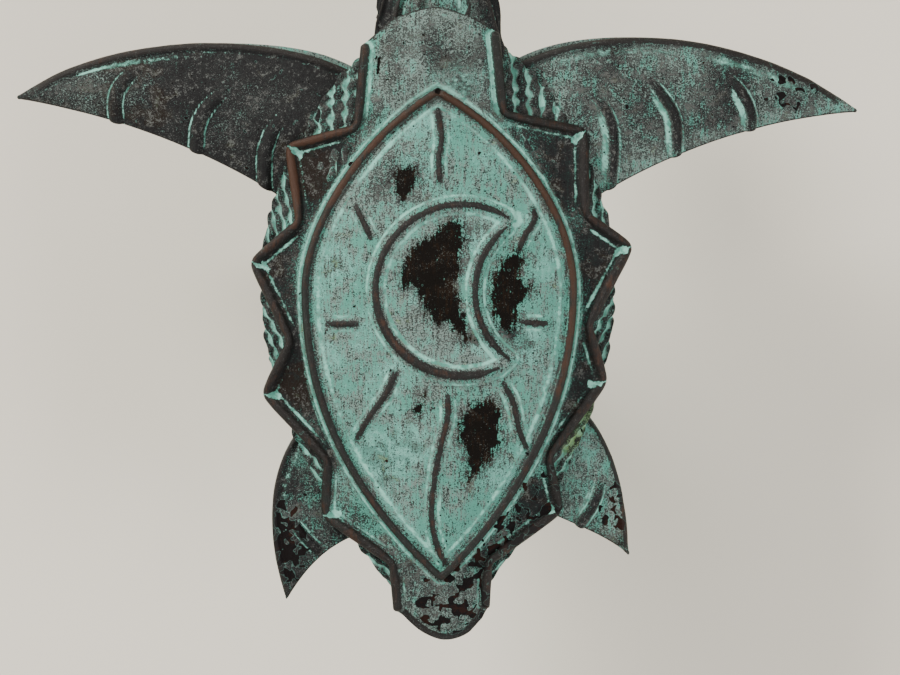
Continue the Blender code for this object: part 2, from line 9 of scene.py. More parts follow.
import bpy
import numpy as np
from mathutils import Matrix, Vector


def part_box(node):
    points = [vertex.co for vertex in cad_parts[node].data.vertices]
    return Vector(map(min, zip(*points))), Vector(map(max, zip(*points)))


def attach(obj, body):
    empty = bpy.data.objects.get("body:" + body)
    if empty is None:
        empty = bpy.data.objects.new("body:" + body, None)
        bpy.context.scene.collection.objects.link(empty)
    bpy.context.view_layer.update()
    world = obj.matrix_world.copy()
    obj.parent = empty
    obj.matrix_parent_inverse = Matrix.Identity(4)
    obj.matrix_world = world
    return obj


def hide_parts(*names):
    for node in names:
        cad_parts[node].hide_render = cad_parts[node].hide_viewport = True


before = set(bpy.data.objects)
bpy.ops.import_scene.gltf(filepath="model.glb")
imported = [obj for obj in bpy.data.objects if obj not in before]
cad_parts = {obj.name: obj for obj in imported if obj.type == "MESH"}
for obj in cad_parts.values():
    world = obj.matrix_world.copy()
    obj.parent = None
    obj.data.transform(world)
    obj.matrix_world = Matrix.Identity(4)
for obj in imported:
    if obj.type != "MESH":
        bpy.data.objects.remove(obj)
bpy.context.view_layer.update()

MM = 0.001
TURTLE = "turtle"

# The shell's frame in the row frame: the seam's height, and how far the shell sits behind the axis.
SEAM_Z = (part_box("carapace_skirt")[0].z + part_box("plastron")[1].z) / 2 / MM
SHELL_Y = 37.0

# --- Outlines shared with the CAD

SEAM_FRONT = ((40, -184), (80, -158), (125, -85), (125, -14))
SEAM_REAR = ((125, -14), (125, 75), (80, 150), (22, 216))
MEDALLION_POINT = (0.5, -148.0)
MEDALLION_TAIL = (-2.0, 196.7)
MEDALLION_LEFT = (
    (MEDALLION_POINT, (48.7, -119.0), (94.0, -56.6), (94.0, -5.8)),
    ((94.0, -5.8), (94.0, 67.3), (65.7, 133.9), MEDALLION_TAIL),
)
MEDALLION_RIGHT = (
    (MEDALLION_POINT, (-53.9, -118.9), (-95.6, -60.9), (-95.6, -7.0)),
    ((-95.6, -7.0), (-95.6, 63.1), (-65.6, 136.9), MEDALLION_TAIL),
)
STAR_LEFT = (
    (51.8, -178.9), (57.5, -122.1), (105.8, -109.3), (98.0, -55.4), (131.4, -27.0), (104.4, 29.1),
    (122.8, 66.7), (78.1, 113.6), (80.2, 152.7), (32.0, 186.7), (29.1, 218.0),
)
STAR_RIGHT = (
    (-40.5, -187.4), (-46.2, -132.1), (-103.7, -120.0), (-104.4, -60.4), (-136.3, -38.3), (-106.5, 17.8),
    (-117.9, 57.5), (-78.1, 111.5), (-86.6, 149.1), (-35.5, 186.0), (-34.1, 215.8),
)
NECK_ARCH = ((-32.0, -193.0), (-21.0, -198.6), (2.6, -204.8), (28.8, -197.6), (42.0, -187.5))
TAIL_ARC = ((22.9, 223.1), (10.2, 233.9), (-4.3, 239.3), (-18.8, 235.7), (-29.7, 224.9))
HEAD_REAR = ((0, 48), (36, 48), (47, 32), (47, 8))
HEAD_NOSE = ((47, 8), (47, -32), (20, -58), (0, -66))
HEAD_Y = -270.0

EDGE_RISE, CROWN_RISE = 7.0, 27.0
GUARD_TOP, GUARD_DROP, GUARD_HALF = 31.0, 14.0, 52.0
GUARD_STARTS, GUARD_FULL = 105.0, 165.0
GUARD_FADES, GUARD_GONE = 50.0, 82.0
COLLAR_BELOW, SKIRT_BELOW = 2.2, 5.8
SKIRT_INNER, SKIRT_POWER = 0.72, 2.2
BELLY_DEPTH, BELLY_POWER = 27.0, 2.6
HALF_GAP = 0.7

FRONT_CURVE = {"droop": 34.0, "droop_power": 1.6, "depth": 7.5, "size": (230, 96)}
REAR_CURVE = {"droop": 11.0, "droop_power": 1.4, "depth": 5.0, "size": (120, 70)}
FLIPPERS = {
    "front_flipper_left": {
        "lead": ((60, -162), (124, -195), (238, -190), (301, -145.5)),
        "trail": ((95, -62), (160, -108), (235, -133), (300.5, -144.2)),
        **FRONT_CURVE,
        "ribs": (
            ((213.1, -167.0), (226.2, -153.1), (230.3, -141.7), (229.5, -127.0)),
            ((149.6, -151.5), (164.3, -136.9), (170.8, -123.8), (172.4, -106.0)),
            ((107.2, -133.6), (118.6, -118.9), (123.5, -102.6), (123.5, -78.0)),
        ),
    },
    "front_flipper_right": {
        "lead": ((-52, -166), (-118, -202), (-223.5, -192.5), (-299.5, -136)),
        "trail": ((-98, -64), (-160, -106), (-232, -130), (-299, -134.7)),
        **FRONT_CURVE,
        "ribs": (
            ((-204.9, -161.3), (-216.3, -148.2), (-222.9, -133.6), (-222.9, -118.0)),
            ((-146.3, -161.3), (-159.3, -146.6), (-169.1, -128.7), (-169.9, -102.0)),
            ((-107.1, -151.5), (-120.1, -133.6), (-125.0, -114.0), (-123.4, -80.0)),
        ),
    },
    "rear_flipper_left": {
        "lead": ((85, 78), (130, 115), (120, 175), (108.5, 213)),
        "trail": ((45, 163), (75, 170), (92, 187), (107.2, 212.4)),
        **REAR_CURVE,
        "ribs": (((104.4, 154.8), (96.6, 166.1), (86.0, 177.5)),),
    },
    "rear_flipper_right": {
        "lead": ((-92, 68), (-132, 100), (-132, 145), (-136.5, 181)),
        "trail": ((-62, 143), (-95, 160), (-118, 165), (-135.4, 181.6)),
        **REAR_CURVE,
        "ribs": (((-115.9, 124.2), (-114.2, 135.6), (-110.1, 146.3), (-101.0, 160.0)),),
    },
}
ROOT_Z = -6.5
UNDERSIDE_SHARE = 0.55

# --- Embossing on the medallion

MOON_CENTRE, MOON_RADIUS = (-16.8, -6.9), 60.4
MOON_INNER_CENTRE, MOON_INNER_RADIUS = (-84.5, -5.4), 58.6
MOON_TIPS = ((-50.5, -57.0), (-51.0, 43.5))
RAYS = (
    ((0.2, -135.1), (-2.5, -115.2), (-0.7, -100.8), (-1.1, -83.5)),
    ((57.7, -66.2), (47.3, -43.9)),
    ((77.2, 17.0), (57.3, 17.0)),
    ((-59.6, 15.7), (-75.8, 16.6)),
    ((30.0, 52.1), (36.8, 67.0), (47.7, 82.0), (57.2, 98.3)),
    ((-6.6, 68.4), (-6.6, 83.4), (-1.2, 106.4), (2.9, 130.9), (4.3, 155.3), (0.2, 175.7), (-6.6, 189.3)),
    ((-46.0, 58.9), (-52.8, 72.5), (-56.9, 91.5), (-62.3, 105.1)),
    ((-66.8, -64.5), (-67.9, -56.9), (-60.8, -45.0), (-56.5, -34.2)),
)
BARE_PATCHES = (
    ((-5.4, -58.0), (0.0, -48.2), (10.9, -41.7), (18.5, -33.0), (26.1, -20.0), (24.5, -9.1), (17.4, -11.3),
     (10.9, 1.7), (7.6, 10.4), (2.2, 17.0), (-6.5, 15.9), (-15.2, 23.5), (-17.4, 30.0), (-23.3, 27.8),
     (-18.5, 10.4), (-13.0, -4.8), (-9.8, -13.5), (-15.2, -15.6), (-15.7, -33.0), (-17.4, -52.6)),
    ((-54.3, -37.4), (-59.7, -26.5), (-56.5, -15.6), (-60.8, -11.3), (-66.3, -8.0), (-59.7, 0.7),
     (-55.4, 5.0), (-56.5, 15.9), (-51.1, 22.4), (-43.4, 17.0), (-38.0, 6.1), (-38.0, -9.1),
     (-39.1, -17.8), (-45.6, -26.5), (-52.1, -33.0)),
    ((-23.3, 74.7), (-33.1, 70.3), (-38.5, 71.4), (-44.0, 78.0), (-44.0, 86.7), (-41.8, 96.4),
     (-44.0, 101.9), (-38.5, 108.4), (-35.3, 114.9), (-27.7, 123.6), (-21.1, 130.1), (-23.3, 120.3),
     (-20.0, 110.6), (-20.6, 104.0), (-15.7, 100.8), (-15.7, 87.7), (-17.9, 80.1)),
    ((12.6, 67.1), (9.3, 68.2), (8.2, 74.7), (11.5, 76.9), (14.7, 80.7), (16.9, 78.0), (13.6, 73.6)),
    ((28.4, -92.3), (17.0, -93.7), (14.2, -85.2), (19.9, -76.7), (25.6, -71.0), (29.8, -79.5)),
)
MEDALLION_BEAD, MEDALLION_OVERHANG = 3.2, 3.1
COLLAR_TUCK, COLLAR_OVERHANG = 2.5, 2.9
RAY_HALF_WIDTH = 2.3

# --- Marks on the collar

GUARD_SLOT = ((42.0, -171.5), (43.0, -161.0))
GUARD_PITS = ((10.5, -188.0), (7.0, -163.0), (36.0, -156.5))
FLAKED_BAND = ((-86, 132), (-62, 160), (-20, 200), (-14, 222))
TAIL_FLAKES = ((8.0, 215.5), (3.0, 227.0), (-15.0, 219.0))

# --- Belly, neck and head

TUBE_HOLE = 10.3
BELLY_CREASES = (-105, -62, 14, 62, 108, 150)
NECK_START, NECK_LENGTH, NECK_MIDDLE_Z = -158.0, 78.0, 1.5
NECK_HALF_WIDE, NECK_HALF_WIDE_END = 44.5, 40.0
NECK_HALF_TALL, NECK_HALF_TALL_END = 17.0, 13.5
CROWN_HEIGHT, JAW_DEPTH = 24.0, 13.0
HEAD_PLATES = (
    (0, -44), (0, -24), (-17, -34), (17, -34), (-14, -12), (14, -12), (0, 2), (-27, 4), (27, 4),
    (-12, 20), (12, 20), (-30, 24), (30, 24), (0, 36), (-18, 40), (18, 40), (-34, -22), (34, -22),
)

# --- The picture, in metres

CAMERA_FAR, CAMERA_WIDTH = 8.0, 0.639
CAMERA_CENTRE = (-0.0085, 0.0636)
FLOOR_SIZE, FLOOR_DROP = 60.0, 0.0005
FLOOR_COLOURS = ((0.82, 0.757, 0.632), (0.86, 0.80, 0.687))
SKY_COLOUR, SKY_STRENGTH = (1.0, 0.975, 0.925, 1), 0.60

# --- Numeric helpers

def cubic(points, t):
    a, b, c, d = (np.array(p, float) for p in points)
    t = np.asarray(t, float)[..., None]
    s = 1 - t
    return a * s**3 + b * 3 * s * s * t + c * 3 * s * t * t + d * t**3


def closed_outline(front, rear, nose, tail, count=40):
    t = np.arange(count) / count
    left = np.vstack([cubic(front, t), cubic(rear, t), [rear[-1]]])
    if left[0, 0] == 0:
        left = left[1:-1]
    right = left[::-1] * (-1, 1)
    return np.vstack([[nose], left, [tail], right])


def two_sided_outline(left, right, count=40):
    t = np.arange(count) / count
    down = np.vstack([cubic(left[0], t), cubic(left[1], t), [left[1][-1]]])
    up = np.vstack([cubic(right[0], t), cubic(right[1], t)])[:0:-1]
    return np.vstack([down, up])


SEAM = closed_outline(SEAM_FRONT, SEAM_REAR, (0, -190), (0, 224), 14)
MEDALLION = two_sided_outline(MEDALLION_LEFT, MEDALLION_RIGHT)
HEAD = closed_outline(HEAD_REAR, HEAD_NOSE, (0, 48), (0, -66), 30)


def smooth_line(points, count=16):
    """A polyline rounded by a Catmull-Rom curve."""
    p = np.asarray(points, float)
    if len(p) < 3:
        return p
    p = np.vstack([2 * p[0] - p[1], p, 2 * p[-1] - p[-2]])
    t = np.linspace(0, 1, count, endpoint=False)[:, None]
    found = []
    for a, b, c, d in zip(p[:-3], p[1:-2], p[2:-1], p[3:]):
        square, cube = 2 * a - 5 * b + 4 * c - d, 3 * b - a - 3 * c + d
        found.append(0.5 * (2 * b + (c - a) * t + square * t**2 + cube * t**3))
    return np.vstack(found + [p[-2:-1]])


def rounded(points, cut):
    """A polyline with each inner corner replaced by a short curve."""
    p = np.asarray(points, float)
    found = [p[0]]
    for before, here, after in zip(p[:-2], p[1:-1], p[2:]):
        start = here + (before - here) * cut / np.linalg.norm(before - here)
        end = here + (after - here) * cut / np.linalg.norm(after - here)
        for t in (0.0, 0.25, 0.5, 0.75, 1.0):
            found.append(start * (1 - t) ** 2 + here * 2 * t * (1 - t) + end * t * t)
    return np.vstack(found + [p[-1]])


TURNS = np.linspace(-math.pi, math.pi, 5761)


def radius_table(outline):
    """How far an outline lies from its middle, in every direction."""
    p = np.asarray(outline, float)
    e = np.roll(p, -1, axis=0) - p
    dx, dy = np.cos(TURNS)[:, None], np.sin(TURNS)[:, None]
    across = dx * e[:, 1] - dy * e[:, 0]
    across[np.abs(across) < 1e-12] = 1e-12
    reach = (p[:, 0] * e[:, 1] - p[:, 1] * e[:, 0]) / across
    share = (p[:, 0] * dy - p[:, 1] * dx) / across
    hit = (reach > 0) & (share > -1e-6) & (share < 1 + 1e-6)
    return np.where(hit, reach, 0).max(1)


CORNER_CUT = 5.0
STAR = np.vstack(
    [
        rounded(STAR_LEFT, CORNER_CUT), smooth_line(TAIL_ARC, 5),
        rounded(STAR_RIGHT, CORNER_CUT)[::-1], smooth_line(NECK_ARCH, 5),
    ]
)
SEAM_R, MEDALLION_R, STAR_R, HEAD_R = map(radius_table, (SEAM, MEDALLION, STAR, HEAD))


def radius_at(table, x, y):
    return np.interp(np.arctan2(y, x), TURNS, table)


def share_of(table, x, y):
    return np.hypot(x, y) / radius_at(table, x, y)


def smoothstep(low, high, value):
    t = np.clip((value - low) / (high - low), 0, 1)
    return t * t * (3 - 2 * t)


def spot(x, y, across, down, far, close, squeeze=(1, 1)):
    """1 within `close` of the place (across, down), fading to 0 at `far`."""
    return smoothstep(far, close, np.hypot((x - across) * squeeze[0], (y - down) * squeeze[1]))


def length_of(path):
    return np.linalg.norm(np.diff(path, axis=0), axis=1).sum()


def full_turn(count):
    return np.arange(count) / count * 2 * math.pi - math.pi


def near(x, y, line, closed=False):
    """Distance to a polyline, which side of it, and how far along it, all in millimetres."""
    p = np.asarray(line, float)
    if closed:
        p = np.vstack([p, p[:1]])
    best = np.full(x.shape, 1e9)
    side, along = np.zeros(x.shape), np.zeros(x.shape)
    start = 0.0
    for (ax, ay), (bx, by) in zip(p[:-1], p[1:]):
        ex, ey = bx - ax, by - ay
        length = math.hypot(ex, ey)
        t = np.clip(((x - ax) * ex + (y - ay) * ey) / length**2, 0, 1)
        dx, dy = x - ax - t * ex, y - ay - t * ey
        d = np.hypot(dx, dy)
        closer = d < best
        best = np.where(closer, d, best)
        side = np.where(closer, np.sign(ex * dy - ey * dx), side)
        along = np.where(closer, start + t * length, along)
        start += length
    return best, side, along


def inside(x, y, outline):
    p = np.asarray(outline, float)
    found = np.zeros(x.shape, bool)
    for (ax, ay), (bx, by) in zip(p, np.roll(p, -1, axis=0)):
        if ay == by:
            continue
        crosses = (ay > y) != (by > y)
        found ^= crosses & (x < ax + (y - ay) * (bx - ax) / (by - ay))
    return found


def depth_in(x, y, outline):
    """Distance to an outline's edge, positive inside it."""
    d = near(x, y, outline, closed=True)[0]
    return np.where(inside(x, y, outline), d, -d)


def lumps(x, y, size, seed):
    """Smooth random unevenness from -1 to 1, in lumps of this size."""
    cells = 97
    grid = np.random.default_rng(seed).uniform(-1, 1, (cells, cells))
    u, v = x / size + 500.0, y / size + 500.0
    i, j = np.floor(u).astype(int), np.floor(v).astype(int)
    fu, fv = u - i, v - j
    fu, fv = fu * fu * (3 - 2 * fu), fv * fv * (3 - 2 * fv)
    a = grid[i % cells, j % cells]
    b = grid[(i + 1) % cells, j % cells]
    c = grid[i % cells, (j + 1) % cells]
    d = grid[(i + 1) % cells, (j + 1) % cells]
    return (a * (1 - fu) + b * fu) * (1 - fv) + (c * (1 - fu) + d * fu) * fv


def roll(d, half, power=0.65):
    """A raised half-round of this half width."""
    return np.clip(1 - (d / half) ** 2, 0, None) ** power


def line(d, centre, half):
    return np.exp(-(((d - centre) / half) ** 2))


# --- Heights shared with the CAD

def shell_height(x, y):
    dome = EDGE_RISE + CROWN_RISE * (1 - share_of(SEAM_R, x, y) ** 2)
    arch = GUARD_TOP - GUARD_DROP * np.minimum(1.0, (x / GUARD_HALF) ** 2)
    over_neck = smoothstep(GUARD_STARTS, GUARD_FULL, -y)
    over_neck = over_neck * (1 - smoothstep(GUARD_FADES, GUARD_GONE, np.abs(x)))
    return dome + over_neck * (arch - dome)


def skirt_height(x, y):
    inward = np.clip((share_of(SEAM_R, x, y) - SKIRT_INNER) / (1 - SKIRT_INNER), 0, 1)
    return (shell_height(x, y) - SKIRT_BELOW) * (1 - inward**SKIRT_POWER)


def belly_height(x, y):
    return -BELLY_DEPTH * (1 - np.minimum(1.0, share_of(SEAM_R, x, y)) ** BELLY_POWER)


# --- Mesh building

def polar_grid(angles, inner, outer, steps):
    """Points (x, y) on rays: from inner to outer radius at these shares along each ray."""
    r = inner[:, None] + (outer - inner)[:, None] * np.asarray(steps)[None, :]
    return r * np.cos(angles)[:, None], r * np.sin(angles)[:, None]


def normals_of(points, closed):
    """Unit normals of a grid of points, from its own slopes, pointing to +Z as a whole."""
    if closed:
        du = np.roll(points, -1, axis=0) - np.roll(points, 1, axis=0)
    else:
        du = np.gradient(points, axis=0)
    dv = np.gradient(points, axis=1)
    n = np.cross(dv, du)
    length = np.linalg.norm(n, axis=2, keepdims=True)
    n = n / np.maximum(length, 1e-9)
    n[length[..., 0] < 1e-9] = (0, 0, 1)
    return n * (1 if n[..., 2].sum() >= 0 else -1)


def signed_volume(points, faces):
    a, b, c = points[faces[:, 0]], points[faces[:, 1]], points[faces[:, 2]]
    return np.einsum("ij,ij->i", a, np.cross(b, c)).sum()


def build_sheet(name, node, front, back, masks, back_masks, closed, material, pole=False, offset=(0, 0, 0)):
    """A closed sheet from a fine front grid and a coarser back grid with the same columns."""
    nu, nv, nb = front.shape[0], front.shape[1], back.shape[1]
    f = np.arange(nu * nv).reshape(nu, nv)
    b = nu * nv + np.arange(nu * nb).reshape(nu, nb)
    if pole:
        f[:, 0], b[:, 0] = f[0, 0], b[0, 0]
    if closed:
        f, b = np.vstack([f, f[:1]]), np.vstack([b, b[:1]])

    def quads(p, q, r, s):
        return np.stack([p.ravel(), q.ravel(), r.ravel(), s.ravel()], axis=1)

    faces = [
        quads(f[:-1, :-1], f[:-1, 1:], f[1:, 1:], f[1:, :-1]),
        quads(b[1:, :-1], b[1:, 1:], b[:-1, 1:], b[:-1, :-1]),
        quads(f[:-1, -1], b[:-1, -1], b[1:, -1], f[1:, -1]),
    ]
    if not pole:
        faces.append(quads(f[1:, 0], b[1:, 0], b[:-1, 0], f[:-1, 0]))
    quad_faces = np.vstack(faces)
    points = np.vstack([front.reshape(-1, 3), back.reshape(-1, 3)]) + np.array([0, SHELL_Y, SEAM_Z]) + offset
    folded = quad_faces[:, 0] == quad_faces[:, 3]
    folded_back = quad_faces[:, 0] == quad_faces[:, 1]
    triangles = np.vstack([quad_faces[folded][:, :3], quad_faces[folded_back][:, 1:]])
    quad_faces = quad_faces[~folded & ~folded_back]
    face_list = quad_faces.tolist() + triangles.tolist()
    if not closed:
        face_list.append(f[0, ::-1].tolist() + b[0, :].tolist())
        face_list.append(f[-1, :].tolist() + b[-1, ::-1].tolist())
    if sum(signed_volume(points, quad_faces[:, corners]) for corners in ([0, 1, 2], [0, 2, 3])) < 0:
        face_list = [face[::-1] for face in face_list]
    used = np.zeros(len(points), bool)
    used[np.concatenate([np.array(face) for face in face_list])] = True
    renumber = np.cumsum(used) - 1
    face_list = [[int(renumber[i]) for i in face] for face in face_list]

    mesh = bpy.data.meshes.new(name)
    mesh.from_pydata((points[used] * MM).tolist(), [], face_list)
    mesh.update()
    for mask in MASKS:
        attribute = mesh.attributes.new(mask, "FLOAT", "POINT")
        shown = np.broadcast_to(masks.get(mask, 0.0), (nu, nv)).ravel()
        hidden = np.broadcast_to(back_masks.get(mask, 0.0), (nu, nb)).ravel()
        values = np.concatenate([shown, hidden])[used].astype(np.float32)
        attribute.data.foreach_set("value", np.ascontiguousarray(values))
    mesh.shade_smooth()
    mesh.set_sharp_from_angle(angle=math.radians(70))
    mesh.materials.append(material)
    obj = bpy.data.objects.new(name, mesh)
    bpy.context.scene.collection.objects.link(obj)
    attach(obj, TURTLE)
    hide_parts(node)
    return obj


MASKS = ("crest", "mint", "dark", "bare", "flake", "brown", "grey", "ochre")


def spread(*parts):
    """Shares from 0 to 1 in stretches: (end, count) pairs, so that a rim can be finer."""
    found, start = [], 0.0
    for end, count in parts:
        found.append(np.linspace(start, end, count, endpoint=False))
        start = end
    return np.concatenate(found + [[1.0]])


def back_of(base, normals, columns, rim, middle, pole=False):
    """The sheet's hidden side: rim thick at its edges and far enough behind the relief elsewhere."""
    share = np.linspace(0, 1, len(columns))
    swell = np.minimum(1, 5 * (1 - share))
    if not pole:
        swell = np.minimum(swell, 5 * share)
    thickness = rim + (middle - rim) * swell
    return base[:, columns] - normals[:, columns] * thickness[:, None]


def emboss(
    name, stood_for, look, base, normals, relief, back, masks, hidden_dark, pole=False, offset=(0, 0, 0)
):
    """Builds a ring-shaped or domed sheet. back is (columns, rim, middle); look is (material, seed)."""
    front = base + normals * relief[..., None]
    columns, rim, middle = back
    hidden = back_of(base, normals, np.array(columns), rim, middle, pole)
    hidden_masks = {"dark": hidden_dark}
    build_sheet(name, stood_for, front, hidden, masks, hidden_masks, True, patina(*look), pole, offset)


def nearest_of(x, y, places):
    """Distance to the nearest of several places."""
    return np.min([np.hypot(x - across, y - down) for across, down in places], axis=0)


def combine(*layers):
    """The strongest of several masks."""
    found = layers[0]
    for layer in layers[1:]:
        found = np.maximum(found, layer)
    return found


# --- Patina material

def node(tree, kind, **values):
    made = tree.nodes.new(kind)
    for key, value in values.items():
        if key in made.inputs:
            made.inputs[key].default_value = value
        else:
            setattr(made, key, value)
    return made


class Painter:
    """Small helpers over one material's node tree."""

    def __init__(self, name):
        self.material = bpy.data.materials.new(name)
        self.material.use_nodes = True
        self.tree = self.material.node_tree
        self.shader = self.tree.nodes["Principled BSDF"]
        self.place = node(self.tree, "ShaderNodeTexCoord").outputs["Object"]

    def link(self, output, socket):
        self.tree.links.new(output, socket)

    def put(self, value, socket):
        if hasattr(value, "links"):
            self.link(value, socket)
        elif socket.type == "RGBA" and len(value) == 3:
            socket.default_value = (*value, 1)
        else:
            socket.default_value = value

    def attribute(self, name):
        return node(self.tree, "ShaderNodeAttribute", attribute_name=name).outputs["Fac"]

    def stretched(self, scale):
        mapping = node(self.tree, "ShaderNodeMapping")
        mapping.inputs["Scale"].default_value = scale
        self.link(self.place, mapping.inputs["Vector"])
        return mapping.outputs["Vector"]

    def noise(self, scale, detail=4.0, roughness=0.6, distortion=0.0, vector=None):
        settings = dict(Scale=scale, Detail=detail, Roughness=roughness, Distortion=distortion)
        made = node(self.tree, "ShaderNodeTexNoise", **settings)
        self.link(vector or self.place, made.inputs["Vector"])
        return made.outputs["Fac"]

    def wave(self, scale, detail=4.0, roughness=0.6, distortion=0.0, vector=None):
        """Noise about zero, mostly within half a unit of it."""
        return self.times(self.add(self.noise(scale, detail, roughness, distortion, vector), -0.5), 5.0)

    def blend_sum(self, *terms):
        """A weighted sum of (weight, value) pairs."""
        total = None
        for weight, value in terms:
            part = self.times(value, weight)
            total = part if total is None else self.add(total, part)
        return total

    def voronoi(self, scale, output="Distance"):
        made = node(self.tree, "ShaderNodeTexVoronoi", Scale=scale)
        self.link(self.place, made.inputs["Vector"])
        return made.outputs[output]

    def maths(self, operation, a, b):
        made = node(self.tree, "ShaderNodeMath", operation=operation)
        self.put(a, made.inputs[0])
        self.put(b, made.inputs[1])
        return made.outputs[0]

    def add(self, a, b):
        return self.maths("ADD", a, b)

    def times(self, a, b):
        return self.maths("MULTIPLY", a, b)

    def ramp(self, value, low, high):
        """A smooth step of value from low to high."""
        made = node(self.tree, "ShaderNodeMapRange", interpolation_type="SMOOTHSTEP")
        self.put(value, made.inputs["Value"])
        self.put(low, made.inputs["From Min"])
        self.put(high, made.inputs["From Max"])
        return made.outputs["Result"]

    def mix(self, factor, a, b):
        made = node(self.tree, "ShaderNodeMix", data_type="RGBA")
        self.put(factor, made.inputs["Factor"])
        self.put(a, made.inputs[6])
        self.put(b, made.inputs[7])
        return made.outputs[2]

    def blend(self, factor, a, b):
        """Mixes two numbers."""
        made = node(self.tree, "ShaderNodeMix", data_type="FLOAT")
        self.put(factor, made.inputs["Factor"])
        self.put(a, made.inputs[2])
        self.put(b, made.inputs[3])
        return made.outputs[0]

    def bump(self, height, strength, distance):
        made = node(self.tree, "ShaderNodeBump", Strength=strength, Distance=distance)
        self.link(height, made.inputs["Height"])
        return made.outputs["Normal"]


MINT = (0.095, 0.295, 0.230)
MINT_PALE = (0.190, 0.435, 0.365)
MINT_DEEP = (0.030, 0.120, 0.090)
LODGED = (0.270, 0.600, 0.490)
DUST = (0.190, 0.220, 0.201)
DUST_ON_DARK = (0.125, 0.133, 0.124)
SPECKLE = (0.010, 0.012, 0.011)
DARK = (0.0100, 0.0088, 0.0094)
DARK_BROWN = (0.0110, 0.0055, 0.0036)
CREST = (0.0085, 0.0063, 0.0052)
COPPER = (0.046, 0.019, 0.0092)
BARE = (0.0038, 0.0024, 0.0013)
BARE_BROWN = (0.0105, 0.0052, 0.0020)
FLAKE_RED = (0.016, 0.0048, 0.0026)
FLAKE_BLACK = (0.004, 0.002, 0.002)
OCHRE = (0.255, 0.400, 0.165)
PIT = (0.002, 0.002, 0.002)
UNMASKED = {"dark": 0.30, "grey": 0.75}


